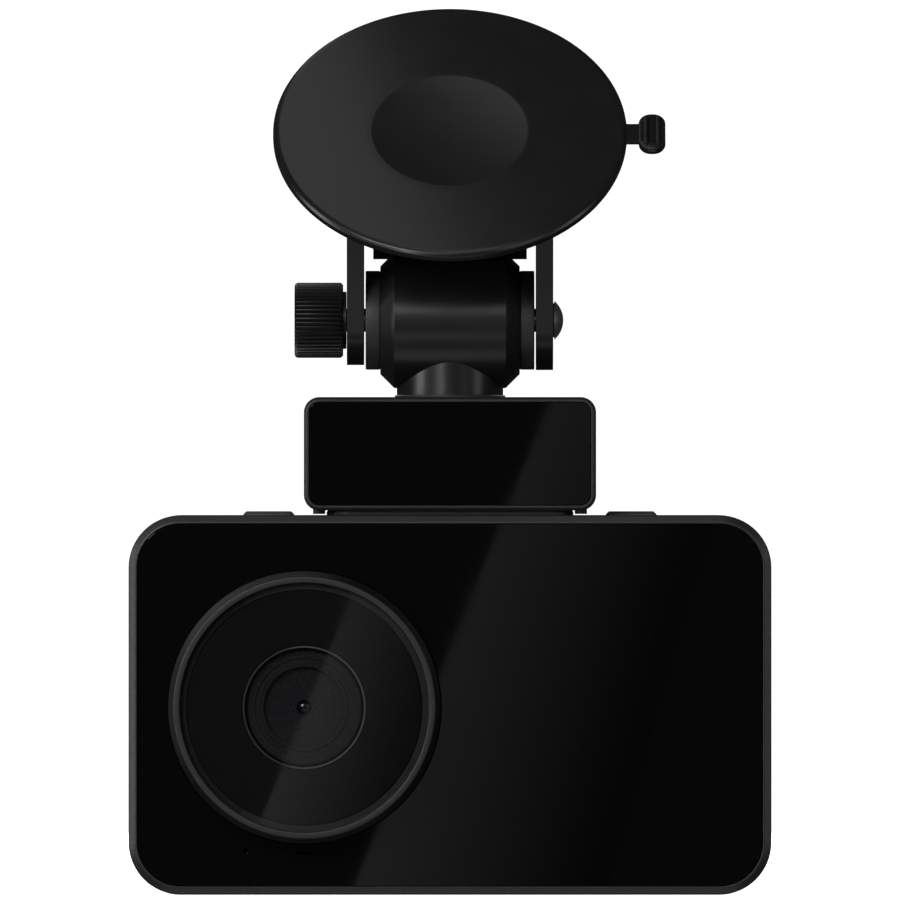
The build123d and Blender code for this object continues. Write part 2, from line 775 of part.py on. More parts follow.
with BuildPart() as supercapacitors:
    with BuildSketch(across(capacitor_x)):
        with Locations((board_front - capacitor_radius - capacitor_lift, capacitor_z)):
            with GridLocations(1, capacitor_pitch, 1, 2):
                Circle(capacitor_radius)
    extrude(amount=capacitor_length / 2, both=True)
supercapacitors.part.label = "supercapacitors"
export_step(supercapacitors.part, "parts/supercapacitors.step")

with BuildPart() as speaker:
    with BuildSketch(Plane.XY.offset(wall)):
        with Locations((speaker_x, 0)):
            RectangleRounded(speaker_size[0], speaker_size[1], 2)
    extrude(amount=speaker_size[2])
speaker.part.label = "speaker"
export_step(speaker.part, "parts/speaker.step")

with BuildPart() as microphone:
    with BuildSketch(back(front_wall_back_y)):
        with Locations((-mic_x, mic_z)):
            Circle(1.0)
            Circle(mic_hole_radius, mode=Mode.SUBTRACT)
    extrude(amount=0.4)
    with BuildSketch(back(front_wall_back_y + 0.4)):
        with Locations((-mic_x, mic_z)):
            Circle(1.0)
    extrude(amount=0.8)
microphone.part.label = "microphone"
export_step(microphone.part, "parts/microphone.step")

socket_mouth_x = body_width / 2 - wall - 0.2
socket_back_x = card_end_x - card_size[0] - card_socket_margin
with BuildPart() as card_socket:
    with BuildSketch(across(socket_back_x)):
        with Locations((card_y, card_z)):
            Rectangle(card_socket_depth, card_size[2] + 2 * card_socket_margin)
    extrude(amount=socket_mouth_x - socket_back_x)
    with BuildSketch(across(card_end_x - card_size[0] - 2 * card_gap)):
        with Locations((card_y, card_z)):
            Rectangle(card_size[1] + 2 * card_gap, card_size[2] + 2 * card_gap)
    extrude(amount=card_size[0], mode=Mode.SUBTRACT)
card_socket.part.label = "card_socket"
export_step(card_socket.part, "parts/card_socket.step")

with BuildPart() as memory_card:
    with BuildSketch(back(card_y - card_size[1] / 2)):
        with Locations((-(card_end_x - card_size[0] / 2), card_z)):
            RectangleRounded(card_size[0], card_size[2], 0.6)
    extrude(amount=card_size[1])
memory_card.part.label = "memory_card"
export_step(memory_card.part, "parts/memory_card.step")


# two USB sockets that open towards -X: one on the main board, one on the receiver board
usb_foot = (4.0, 0.6)        # length, thickness
module_usb_place = (0, module_board_top + usb_size[1] / 2)
for socket_name, mouth_x, place, turn in (
    ("usb_socket", -body_width / 2 + usb_sunk, usb_place, 90),
    ("module_usb_socket", -module_width / 2 + usb_sunk, module_usb_place, 0),
):
    with BuildPart() as socket:
        with BuildSketch(across(mouth_x)):
            with Locations(place):
                SlotOverall(usb_size[2], usb_size[1], rotation=turn)
                SlotOverall(
                    usb_size[2] - 2 * usb_sheet,
                    usb_size[1] - 2 * usb_sheet,
                    rotation=turn,
                    mode=Mode.SUBTRACT,
                )
        extrude(amount=usb_size[0])
        with BuildSketch(across(mouth_x + usb_size[0] - usb_back)):
            with Locations(place):
                SlotOverall(usb_size[2], usb_size[1], rotation=turn)
        extrude(amount=usb_back)
        with BuildSketch(across(mouth_x + usb_tongue_inset)):
            with Locations(place):
                Rectangle(usb_tongue[1], usb_tongue[0], rotation=turn)
        extrude(amount=usb_size[0] - usb_tongue_inset)
        # foot that carries the camera's socket on the main board
        if place == usb_place:
            with BuildSketch(across(mouth_x + usb_size[0] - usb_foot[0])):
                with Locations((board_front - usb_foot[1] / 2, usb_z)):
                    Rectangle(usb_foot[1], usb_size[2] - usb_size[1])
            extrude(amount=usb_foot[0])
    socket.part.label = socket_name
    export_step(socket.part, f"parts/{socket_name}.step")

# ---------------------------------------------------------------- keys and their switches
button_flange_top = body_height - wall - fit_gap
button_foot_z = button_flange_top - key_flange
key_flange_y = rear_wall_y - fit_gap
key_foot_y = key_flange_y - key_flange
top_switch_z = button_foot_z - switch_gap
rear_switch_y = key_foot_y - switch_gap

with BuildPart() as tact_switches:
    # two side-press switches for the top buttons, on the board's front
    with BuildSketch(Plane.XY.offset(top_switch_z - 3.0)):
        with Locations((-button_x, board_front - 1.5), (button_x, board_front - 1.5)):
            Rectangle(4.5, 3.0)
    extrude(amount=2.5)
    with BuildSketch(Plane.XY.offset(top_switch_z - 0.5)):
        with Locations((-button_x, button_back), (button_x, button_back)):
            Circle(0.9)
    extrude(amount=0.5)
    # one switch behind each rear key, on the board's rear
    with BuildSketch(back(board_back)):
        with Locations(*[(x, key_z) for x in key_places]):
            Rectangle(4.5, 3.0)
    extrude(amount=1.2)
    with BuildSketch(back(board_back + 1.2)):
        with Locations(*[(x, key_z) for x in key_places]):
            Circle(0.9)
    extrude(amount=rear_switch_y - board_back - 1.2)
tact_switches.part.label = "tact_switches"
export_step(tact_switches.part, "parts/tact_switches.step")

for side, side_name in ((-1, "left"), (1, "right")):
    with BuildPart() as top_button:
        with BuildSketch(Plane.XY.offset(button_foot_z)):
            with Locations((side * button_x, button_back)):
                RectangleRounded(button_length + 1.4, button_depth + 1.4, 1.2)
        extrude(amount=key_flange)
        with BuildSketch(Plane.XY.offset(button_foot_z + key_flange)):
            with Locations((side * button_x, button_back)):
                RectangleRounded(button_length, button_depth, 0.7)
        extrude(amount=body_height + button_proud - button_foot_z - key_flange)
        chamfer(top_button.edges().group_by(Axis.Z)[-1], 0.4)
    top_button.part.label = f"top_button_{side_name}"
    export_step(top_button.part, f"parts/top_button_{side_name}.step")

for number, place in enumerate(key_places, start=1):
    with BuildPart() as rear_key:
        with BuildSketch(back(key_foot_y)):
            with Locations((-place, key_z)):
                SlotOverall(key_length + 1.2, key_height + 1.2)
        extrude(amount=key_flange)
        with BuildSketch(back(key_foot_y + key_flange)):
            with Locations((-place, key_z)):
                SlotOverall(key_length, key_height)
        extrude(amount=rear_y + key_proud - key_foot_y - key_flange)
        fillet(rear_key.edges().group_by(Axis.Y)[-1], 0.25)
    rear_key.part.label = f"rear_key_{number}"
    export_step(rear_key.part, f"parts/rear_key_{number}.step")

# ---------------------------------------------------------------- dock on the camera's top
with BuildPart() as contact_plate:
    with BuildSketch(Plane.XY.offset(body_height - plate_sunk)):
        RectangleRounded(plate_width, plate_depth, plate_corner)
        with Locations(*[(x, 0) for x in contact_places]):
            Circle(contact_radius + tight, mode=Mode.SUBTRACT)
    extrude(amount=plate_sunk + plate_proud)
    chamfer(contact_plate.faces().sort_by(Axis.Z)[-1].outer_wire().edges(), 0.15)
contact_plate.part.label = "contact_plate"
export_step(contact_plate.part, "parts/contact_plate.step")

with BuildPart() as contact_pads:
    with BuildSketch(Plane.XY.offset(body_height - wall - 0.5)):
        with Locations(*[(x, 0) for x in contact_places]):
            Circle(contact_radius)
    extrude(amount=plate_top - body_height + wall + 0.5)
contact_pads.part.label = "contact_pads"
export_step(contact_pads.part, "parts/contact_pads.step")

with BuildPart() as camera_magnets:
    with BuildSketch(Plane.XY.offset(body_height - wall - magnet_height)):
        with Locations((-magnet_x, 0), (magnet_x, 0)):
            Circle(magnet_radius)
    extrude(amount=magnet_height)
camera_magnets.part.label = "camera_magnets"
export_step(camera_magnets.part, "parts/camera_magnets.step")


# ---------------------------------------------------------------- receiver module
def module_outline(inset, mode=Mode.ADD):
    """The module's rounded outline, drawn inset by the same amount all round."""
    with Locations((0, module_z)):
        RectangleRounded(
            module_width - 2 * inset,
            module_height - 2 * inset,
            max(module_corner - inset, 0.6),
            mode=mode,
        )


with BuildPart() as module_frame:
    with BuildSketch(front(module_split_y)):
        module_outline(0)
    extrude(amount=module_frame_depth)
    chamfer(module_frame.edges().group_by(Axis.Y)[0], 0.3)
    with BuildSketch(front(module_front_y)):
        module_outline(module_rim)
    extrude(amount=-(glass_inset + glass_thickness), mode=Mode.SUBTRACT)
    with BuildSketch(front(module_split_y)):
        module_outline(module_wall + 1.2)
    extrude(amount=module_frame_depth, mode=Mode.SUBTRACT)
    # tongue that locates the shell
    with BuildSketch(front(module_split_y + lip_depth)):
        module_outline(module_wall + fit_gap)
        module_outline(module_wall + 0.8, mode=Mode.SUBTRACT)
    extrude(amount=lip_depth)
module_frame.part.label = "module_frame"
export_step(module_frame.part, "parts/module_frame.step")

with BuildPart() as module_glass:
    with BuildSketch(front(module_front_y + glass_inset + glass_thickness)):
        module_outline(module_rim + glass_gap)
    extrude(amount=glass_thickness)
module_glass.part.label = "module_glass"
export_step(module_glass.part, "parts/module_glass.step")

module_rear_y = module_front_y + module_depth
module_post_places = [(sx * 15.4, sy * 4.6) for sx in (-1, 1) for sy in (-1, 1)]
with BuildPart() as module_shell:
    with BuildSketch(back(module_split_y)):
        module_outline(0)
    extrude(amount=module_rear_y - module_split_y)
    fillet(module_shell.edges().group_by(Axis.Y)[-1], 1.0)
    with BuildSketch(back(module_split_y)):
        module_outline(module_wall)
    extrude(amount=module_depth - module_frame_depth - module_wall, mode=Mode.SUBTRACT)
    # rails underneath, either side of the contact plate
    with BuildSketch(Plane.XY.offset(body_height + rail_clearance)):
        with GridLocations(plate_width + 2 * rail_gap + rail_width, 1, 2, 1):
            RectangleRounded(rail_width, -2 * module_split_y - 0.2, 0.7)
    extrude(amount=module_lift - rail_clearance + 0.2)
    # posts that carry the receiver board
    with BuildSketch(Plane.XY.offset(module_bottom + module_wall)):
        with Locations(*module_post_places):
            Circle(1.1)
    extrude(amount=module_board_z - module_bottom - module_wall)
    with BuildSketch(Plane.XY.offset(module_bottom)):
        with Locations(*[(x, 0) for x in contact_places]):
            Circle(pogo_radius + tight)
    extrude(amount=module_wall, mode=Mode.SUBTRACT)
    with BuildSketch(Plane.XY.offset(module_top - module_wall)):
        Circle(pivot_radius + running)
    extrude(amount=module_wall, mode=Mode.SUBTRACT)
    with BuildSketch(across(-module_width / 2)):
        with Locations(module_usb_place):
            SlotOverall(usb_size[2] + 2 * usb_opening, usb_size[1] + 2 * usb_opening)
    extrude(amount=module_wall + 0.2, mode=Mode.SUBTRACT)
module_shell.part.label = "module_shell"
export_step(module_shell.part, "parts/module_shell.step")

with BuildPart() as module_board:
    with BuildSketch(Plane.XY.offset(module_board_z)):
        with Locations((0, (module_split_y + module_rear_y - module_wall) / 2 + 0.4)):
            Rectangle(module_inner[0] - 0.6, module_rear_y - module_wall - module_split_y - 1.8)
    extrude(amount=module_board_thickness)
module_board.part.label = "module_board"
export_step(module_board.part, "parts/module_board.step")

with BuildPart() as module_antenna:
    with BuildSketch(Plane.XY.offset(module_board_top)):
        with Locations((module_inner[0] / 2 - 0.4 - antenna_side / 2, 0)):
            Rectangle(antenna_side, antenna_side)
    extrude(amount=antenna_height)
    with BuildSketch(Plane.XY.offset(module_board_top + antenna_height)):
        with Locations((module_inner[0] / 2 - 0.4 - antenna_side / 2, 0)):
            Rectangle(antenna_side - 2.4, antenna_side - 2.4)
    extrude(amount=0.05)
module_antenna.part.label = "module_antenna"
export_step(module_antenna.part, "parts/module_antenna.step")

with BuildPart() as module_magnets:
    with BuildSketch(Plane.XY.offset(module_bottom + module_wall)):
        with Locations((-magnet_x, 0), (magnet_x, 0)):
            Circle(magnet_radius)
    extrude(amount=magnet_height)
module_magnets.part.label = "module_magnets"
export_step(module_magnets.part, "parts/module_magnets.step")

pogo_bottom = module_bottom + 0.5
with BuildPart() as pogo_barrels:
    with BuildSketch(Plane.XY.offset(pogo_bottom)):
        with Locations(*[(x, 0) for x in contact_places]):
            Circle(pogo_radius)
    extrude(amount=module_board_z - pogo_bottom)
    with BuildSketch(Plane.XY.offset(pogo_bottom)):
        with Locations(*[(x, 0) for x in contact_places]):
            Circle(pogo_tip_radius + running)
    extrude(amount=3.6, mode=Mode.SUBTRACT)
pogo_barrels.part.label = "pogo_barrels"
export_step(pogo_barrels.part, "parts/pogo_barrels.step")

with BuildPart() as pogo_tips:
    with BuildSketch(Plane.XY.offset(plate_top + 0.02)):
        with Locations(*[(x, 0) for x in contact_places]):
            Circle(pogo_tip_radius)
    extrude(amount=pogo_bottom + 3.3 - plate_top)
pogo_tips.part.label = "pogo_tips"
export_step(pogo_tips.part, "parts/pogo_tips.step")

with BuildPart() as swivel_washer:
    with BuildSketch(Plane.XY.offset(module_top)):
        Circle(neck_radius + washer_margin)
        Circle(pivot_radius + running, mode=Mode.SUBTRACT)
    extrude(amount=washer_thickness)
swivel_washer.part.label = "swivel_washer"
export_step(swivel_washer.part, "parts/swivel_washer.step")

# ---------------------------------------------------------------- swivel
neck_foot_z = module_top + washer_thickness + running
pivot_end_z = module_top - module_wall - running
with BuildPart() as swivel_barrel:
    with BuildSketch(Plane.XY.offset(pivot_end_z)):
        Circle(pivot_radius)
    extrude(amount=neck_foot_z - pivot_end_z)
    with BuildSketch(Plane.XY.offset(neck_foot_z)):
        Circle(neck_radius)
    extrude(amount=axis_z - neck_foot_z)
    with BuildSketch(across(0)):
        with Locations((0, axis_z)):
            Circle(barrel_radius)
    extrude(amount=barrel_half, both=True)
    barrel_rims = swivel_barrel.edges().filter_by(GeomType.CIRCLE)
    chamfer(barrel_rims.group_by(Axis.X)[0] + barrel_rims.group_by(Axis.X)[-1], barrel_chamfer)
    with BuildSketch(across(0)):
        with Locations((0, axis_z)):
            Circle(clamp_screw_radius + running)
    extrude(amount=barrel_half, both=True, mode=Mode.SUBTRACT)
    with BuildSketch(Plane.XY.offset(pivot_end_z)):
        Circle(retainer_screw[0])
    extrude(amount=retainer_screw[1] + 0.5, mode=Mode.SUBTRACT)
swivel_barrel.part.label = "swivel_barrel"
export_step(swivel_barrel.part, "parts/swivel_barrel.step")

head_z = pivot_end_z - retainer_head[1]
with BuildPart() as swivel_retainer:
    with BuildSketch(Plane.XY.offset(head_z)):
        Circle(pivot_radius + retainer_head[0])
    extrude(amount=retainer_head[1])
    with BuildSketch(Plane.XY.offset(head_z - retainer_nose[1])):
        Circle(retainer_nose[0])
    extrude(amount=retainer_nose[1])
    with BuildSketch(Plane.XY.offset(pivot_end_z)):
        Circle(retainer_screw[0] - tight)
    extrude(amount=retainer_screw[1])
swivel_retainer.part.label = "swivel_retainer"
export_step(swivel_retainer.part, "parts/swivel_retainer.step")

with BuildPart() as friction_discs:
    for first in (barrel_half, -barrel_half - disc_thickness):
        with BuildSketch(across(first)):
            with Locations((0, axis_z)):
                Circle(disc_radius)
                Circle(clamp_screw_radius + running, mode=Mode.SUBTRACT)
        extrude(amount=disc_thickness)
friction_discs.part.label = "friction_discs"
export_step(friction_discs.part, "parts/friction_discs.step")

# ---------------------------------------------------------------- suction mount
def housing_profile():
    """Outer half-section of the cup housing, against the pad's axis."""
    Polyline(
        (0, -pad_thickness),
        (housing_radius, -pad_thickness),
        (housing_radius, -pad_thickness - housing_rim),
        (housing_back_radius, -housing_back),
        (0, -housing_back),
        close=True,
    )


with BuildPart() as cup_envelope:
    with BuildSketch(pad_section):
        with BuildLine():
            housing_profile()
        make_face()
    revolve(axis=pad_axis)

with BuildPart() as cup_housing:
    with BuildSketch(pad_section):
        with BuildLine():
            housing_profile()
        make_face()
    revolve(axis=pad_axis)
    with BuildSketch(pad_section):
        with BuildLine():
            Polyline(
                (0, -pad_thickness),
                (housing_radius - housing_wall, -pad_thickness),
                (housing_radius - housing_wall, -pad_thickness - housing_rim),
                (housing_back_radius - housing_wall, -housing_back + housing_wall),
                (0, -housing_back + housing_wall),
                close=True,
            )
        make_face()
    revolve(axis=pad_axis, mode=Mode.SUBTRACT)
    with BuildSketch(on_pad(-housing_back)):
        Circle(stud_radius + running)
    extrude(amount=housing_height, mode=Mode.SUBTRACT)
cup_housing.part.label = "cup_housing"
export_step(cup_housing.part, "parts/cup_housing.step")

for side, side_name, end_radius in (
    (-1, "left", arm_radius_left),
    (1, "right", arm_radius_right),
):
    # seen from the side, an arm is a bar with a round end about the tilt axis
    arm_angle = 90 + pad_tilt - arm_lean
    arm_plane = Plane(
        origin=(min(side * arm_inner, side * arm_outer), 0, axis_z),
        x_dir=(0, cos(radians(arm_angle)), sin(radians(arm_angle))),
        z_dir=(1, 0, 0),
    )
    with BuildPart() as yoke_arm:
        with BuildSketch(arm_plane):
            Circle(end_radius)
            with Locations((pad_reach / 2, 0)):
                Rectangle(pad_reach, 2 * end_radius)
            Circle(clamp_screw_radius + running, mode=Mode.SUBTRACT)
        extrude(amount=arm_thickness)
        add(cup_envelope.part, mode=Mode.SUBTRACT)
        # what would reach past the housing towards the pad is cut off
        with BuildSketch(on_pad(-pad_thickness - housing_rim)):
            Rectangle(4 * pad_radius, 4 * pad_radius)
        extrude(amount=pad_reach, mode=Mode.SUBTRACT)
    yoke_arm.part.label = f"yoke_arm_{side_name}"
    export_step(yoke_arm.part, f"parts/yoke_arm_{side_name}.step")

with BuildPart() as suction_pad:
    with BuildSketch(on_pad(-pad_thickness)):
        Circle(pad_radius)
    extrude(amount=pad_thickness)
    # shallow round dimple in the face
    dimple_curve = (pad_dimple_radius**2 + pad_dimple_depth**2) / (2 * pad_dimple_depth)
    with BuildSketch(pad_section):
        with BuildLine():
            RadiusArc((0, -pad_dimple_depth), (pad_dimple_radius, 0), -dimple_curve)
            Polyline(
                (pad_dimple_radius, 0),
                (pad_dimple_radius, pad_thickness),
                (0, pad_thickness),
                (0, -pad_dimple_depth),
            )
        make_face()
    revolve(axis=pad_axis, mode=Mode.SUBTRACT)
    with BuildSketch(on_pad(-pad_thickness - pad_boss)):
        Circle(pad_boss_radius)
    extrude(amount=pad_boss)
    # pull tab at the right edge: a thin neck and a ribbed head
    neck_end = pad_radius + tab_neck[0]
    with BuildSketch(on_pad(-pad_thickness / 2 - tab_neck[2] / 2)):
        with Locations((pad_radius + (tab_neck[0] - tab_root) / 2, 0)):
            Rectangle(tab_neck[0] + tab_root, tab_neck[1])
    extrude(amount=tab_neck[2])
    with BuildSketch(on_pad(-pad_thickness / 2 - tab_head[2] / 2)):
        with Locations((neck_end + tab_head[0] / 2, 0)):
            RectangleRounded(tab_head[0], tab_head[1], tab_corner)
    extrude(amount=tab_head[2])
    for face, way in ((tab_head[2] / 2, 1), (-tab_head[2] / 2, -1)):
        with BuildSketch(on_pad(-pad_thickness / 2 + face)):
            with Locations((neck_end + tab_head[0] / 2, 0)):
                with GridLocations(tab_rib_pitch, 1, 2, 1):
                    SlotOverall(tab_rib[1], tab_rib[0], rotation=90)
        extrude(amount=way * tab_rib[2])
suction_pad.part.label = "suction_pad"
export_step(suction_pad.part, "parts/suction_pad.step")

stud_front = pad_thickness + pad_boss
stud_end = lever_pivot + stud_beyond_pin
with BuildPart() as pull_stud:
    with BuildSketch(on_pad(-stud_front - stud_plate)):
        Circle(stud_plate_radius)
    extrude(amount=stud_plate)
    with BuildSketch(on_pad(-stud_end)):
        Circle(stud_radius)
    extrude(amount=stud_end - stud_front)
    with BuildSketch(beside_pad()):
        with Locations((0, -lever_pivot)):
            Circle(lever_pin_radius + tight)
    extrude(amount=stud_radius, both=True, mode=Mode.SUBTRACT)
pull_stud.part.label = "pull_stud"
export_step(pull_stud.part, "parts/pull_stud.step")

with BuildPart() as lever_pin:
    with BuildSketch(beside_pad()):
        with Locations((0, -lever_pivot)):
            Circle(lever_pin_radius)
    extrude(amount=lever_width / 2 - lever_pin_inset, both=True)
lever_pin.part.label = "lever_pin"
export_step(lever_pin.part, "parts/lever_pin.step")

handle_rise = lever_handle_step + lever_handle_depth / 2
handle_middle = lever_handle_length / 2 - lever_handle_root
slot_length = lever_slot_depth + pad_reach
with BuildPart() as cam_lever:
    # eccentric cam that bears on the housing, with a square head behind it
    with BuildSketch(beside_pad()):
        with Locations((stud_travel, -lever_pivot)):
            Circle(cam_radius)
        with Locations((lever_head_depth / 2, -lever_pivot - lever_head_length / 2)):
            Rectangle(lever_head_depth, lever_head_length)
    extrude(amount=lever_width / 2, both=True)
    lever_end = cam_lever.faces().sort_by(Axis(origin=(0, 0, 0), direction=pad_normal))[0]
    fillet(lever_end.edges().filter_by(Axis.X), lever_end_round)
    # narrower handle
    with BuildSketch(beside_pad()):
        with Locations((handle_rise, -lever_pivot - lever_head_length - handle_middle)):
            RectangleRounded(
                lever_handle_depth, lever_handle_length + 2 * lever_handle_root, lever_handle_round
            )
    extrude(amount=lever_handle_width / 2, both=True)
    # slot for the stud, and the pin's hole through both cheeks
    with BuildSketch(beside_pad()):
        with Locations((0, -lever_pivot - lever_slot_depth + slot_length / 2)):
            Rectangle(2 * pad_radius, slot_length)
    extrude(amount=lever_slot / 2, both=True, mode=Mode.SUBTRACT)
    with BuildSketch(beside_pad()):
        with Locations((0, -lever_pivot)):
            Circle(lever_pin_radius + running)
    extrude(amount=lever_width / 2, both=True, mode=Mode.SUBTRACT)
cam_lever.part.label = "cam_lever"
export_step(cam_lever.part, "parts/cam_lever.step")

# ---------------------------------------------------------------- clamp through the arms
dome_sphere = (dome_radius**2 + dome_height**2) / (2 * dome_height)
screw_end_x = -arm_outer - knob_collar - knob_length + knob_floor
with BuildPart() as clamp_screw:
    with BuildSketch(across(screw_end_x)):
        with Locations((0, axis_z)):
            Circle(clamp_screw_radius)
    extrude(amount=arm_outer - screw_end_x)
    with BuildSketch(across(arm_outer)):
        with Locations((0, axis_z)):
            Circle(dome_radius - dome_neck)
    extrude(amount=dome_gap)
    with BuildSketch(Plane(origin=(arm_outer + dome_gap, 0, axis_z), x_dir=(1, 0, 0), z_dir=(0, 0, 1))):
        with BuildLine():
            Line((0, 0), (0, dome_radius))
            RadiusArc((0, dome_radius), (dome_height, 0), dome_sphere)
            Line((dome_height, 0), (0, 0))
        make_face()
    revolve(axis=Axis((0, 0, axis_z), (1, 0, 0)))
clamp_screw.part.label = "clamp_screw"
export_step(clamp_screw.part, "parts/clamp_screw.step")

collar_x = -arm_outer - running
knob_x = collar_x - knob_collar
nut_x = collar_x - nut_height
with BuildPart() as clamp_knob:
    with BuildSketch(across(knob_x - knob_length)):
        with Locations((0, axis_z)):
            Circle(knob_radius - 0.3)
            with PolarLocations(knob_radius - knob_rib / 2, knob_ribs):
                Rectangle(knob_rib, knob_rib)
    extrude(amount=knob_length)
    with BuildSketch(across(knob_x)):
        with Locations((0, axis_z)):
            Circle(knob_collar_radius)
    extrude(amount=knob_collar)
    with BuildSketch(across(collar_x - nut_height)):
        with Locations((0, axis_z)):
            RegularPolygon(nut_across_flats / 2 + fit_gap, 6, major_radius=False)
    extrude(amount=nut_height, mode=Mode.SUBTRACT)
    with BuildSketch(across(screw_end_x - 0.5)):
        with Locations((0, axis_z)):
            Circle(clamp_screw_radius + 2 * running)
    extrude(amount=collar_x - screw_end_x, mode=Mode.SUBTRACT)
clamp_knob.part.label = "clamp_knob"
export_step(clamp_knob.part, "parts/clamp_knob.step")

with BuildPart() as knob_nut:
    with BuildSketch(across(nut_x)):
        with Locations((0, axis_z)):
            RegularPolygon(nut_across_flats / 2, 6, major_radius=False)
            Circle(clamp_screw_radius + running, mode=Mode.SUBTRACT)
    extrude(amount=nut_height - nut_play)
knob_nut.part.label = "knob_nut"
export_step(knob_nut.part, "parts/knob_nut.step")
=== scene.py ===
"""Looks of the dash camera: its moulded shells, glossy panels, lens, swivel and suction mount.

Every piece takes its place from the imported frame. Lengths are metres; MM turns millimetres into metres.
"""

import json
from math import atan2, cos, pi, radians, sin, sqrt, tan

import bmesh
import bpy
from mathutils import Matrix, Vector
from mathutils.geometry import tessellate_polygon


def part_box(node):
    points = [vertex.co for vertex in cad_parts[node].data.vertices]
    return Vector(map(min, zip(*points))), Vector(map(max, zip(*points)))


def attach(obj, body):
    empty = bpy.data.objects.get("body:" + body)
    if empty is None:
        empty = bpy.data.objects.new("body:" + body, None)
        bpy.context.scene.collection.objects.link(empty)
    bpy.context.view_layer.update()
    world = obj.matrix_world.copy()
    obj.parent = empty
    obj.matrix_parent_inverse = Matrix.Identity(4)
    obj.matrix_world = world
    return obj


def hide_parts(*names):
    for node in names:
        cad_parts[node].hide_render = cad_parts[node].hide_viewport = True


MM = 0.001
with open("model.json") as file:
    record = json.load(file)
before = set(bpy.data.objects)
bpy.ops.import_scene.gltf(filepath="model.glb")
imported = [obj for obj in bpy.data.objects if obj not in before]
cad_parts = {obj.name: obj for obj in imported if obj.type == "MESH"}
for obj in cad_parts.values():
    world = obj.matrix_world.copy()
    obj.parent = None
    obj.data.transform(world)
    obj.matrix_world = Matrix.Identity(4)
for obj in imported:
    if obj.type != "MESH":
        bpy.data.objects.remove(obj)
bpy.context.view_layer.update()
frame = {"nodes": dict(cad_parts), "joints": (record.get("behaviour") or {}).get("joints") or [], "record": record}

X = Vector((1, 0, 0))
Y = Vector((0, 1, 0))
Z = Vector((0, 0, 1))


# ---------------------------------------------------------------- places read from the frame
def low(node):
    """Lowest corner of a node's box."""
    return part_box(node)[0]


def high(node):
    """Highest corner of a node's box."""
    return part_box(node)[1]


def middle(node):
    """Centre of a node's box."""
    return (low(node) + high(node)) / 2


def size(node):
    """Extents of a node's box."""
    return high(node) - low(node)


def joint(name):
    """The record's joint of that name."""
    return next(j for j in frame["joints"] if j["name"] == name)


tilt_point = Vector(joint("mount_tilt")["pos_m"])
pad_out = -Vector(joint("stud_pull")["axis"]).normalized()
pad_up = pad_out.cross(X)
mounts = {m["name"]: m for m in frame["record"]["mounts"]}
pad_centre = Vector(mounts["suction_face"]["pos_m"])
pad_centre.x = 0
body_middle = middle("front_frame")
lens_middle = middle("lens_cover_glass")


# ---------------------------------------------------------------- outlines
def rounded(points, radii, steps=6, closed=False):
    """A 2D polyline with its corners turned into arcs. radii is one number, or one for each point."""
    count = len(points)
    if not hasattr(radii, "__len__"):
        radii = [radii] * count
    out = []
    for i, point in enumerate(points):
        p = Vector(point)
        at_end = not closed and i in (0, count - 1)
        if radii[i] <= 0 or at_end:
            out.append(p)
            continue
        before = (Vector(points[i - 1]) - p).normalized()
        after = (Vector(points[(i + 1) % count]) - p).normalized()
        half = before.angle(after) / 2
        if half > radians(89):
            out.append(p)
            continue
        reach = radii[i] / tan(half)
        centre = p + (before + after).normalized() * (radii[i] / sin(half))
        first = p + before * reach - centre
        last = p + after * reach - centre
        start = atan2(first.y, first.x)
        sweep = (atan2(last.y, last.x) - start + pi) % (2 * pi) - pi
        for k in range(steps + 1):
            angle = start + sweep * k / steps
            out.append(centre + Vector((cos(angle), sin(angle))) * radii[i])
    return out


def round_box(width, height, radius, centre=(0, 0), steps=16):
    """A function of an inset that draws a rectangle with round corners."""

    def outline(inset):
        r = max(radius - inset, 0.02 * MM)
        x, y = width / 2 - inset - r, height / 2 - inset - r
        points = []
        for quarter, (sx, sy) in enumerate(((1, 1), (-1, 1), (-1, -1), (1, -1))):
            for k in range(steps + 1):
                a = (quarter + k / steps) * pi / 2
                points.append((centre[0] + sx * x + r * cos(a), centre[1] + sy * y + r * sin(a)))
        return points

    return outline


def hole(radius, centre=(0, 0), steps=96):
    """A function of an inset that draws a round hole, which widens by the inset."""

    def outline(inset):
        r = radius + inset
        angles = [-2 * pi * k / steps for k in range(steps)]
        return [(centre[0] + r * cos(a), centre[1] + r * sin(a)) for a in angles]

    return outline


def slot_hole(length, width, centre):
    """A function of an inset that draws a slot with round ends, which widens by the inset."""

    def outline(inset):
        r = width / 2 + inset
        points = []
        for side in (1, -1):
            for k in range(13):
                a = pi / 2 - pi * k / 12
                end = length / 2 - width / 2 + r * cos(a)
                points.append((centre[0] + side * end, centre[1] + side * r * sin(a)))
        return points

    return outline


# ---------------------------------------------------------------- meshes
def make(name, vertices, faces, smooth_angle=32):
    """An object of those faces, smooth except at edges sharper than smooth_angle."""
    mesh = bpy.data.meshes.new(name)
    mesh.from_pydata([tuple(v) for v in vertices], [], faces)
    mesh.validate()
    obj = bpy.data.objects.new(name, mesh)
    bpy.context.collection.objects.link(obj)
    settle(obj, smooth_angle)
    return obj


def settle(obj, smooth_angle=32):
    """Joins doubled points, turns the faces outwards and shades flats flat and rounds round."""
    work = bmesh.new()
    work.from_mesh(obj.data)
    bmesh.ops.remove_doubles(work, verts=work.verts, dist=1e-7)
    bmesh.ops.recalc_face_normals(work, faces=work.faces)
    work.to_mesh(obj.data)
    work.free()
    obj.data.shade_smooth()
    obj.data.set_sharp_from_angle(angle=radians(smooth_angle))
    weighted = obj.modifiers.new("even_flats", "WEIGHTED_NORMAL")
    weighted.keep_sharp = True
    weighted.weight = 80


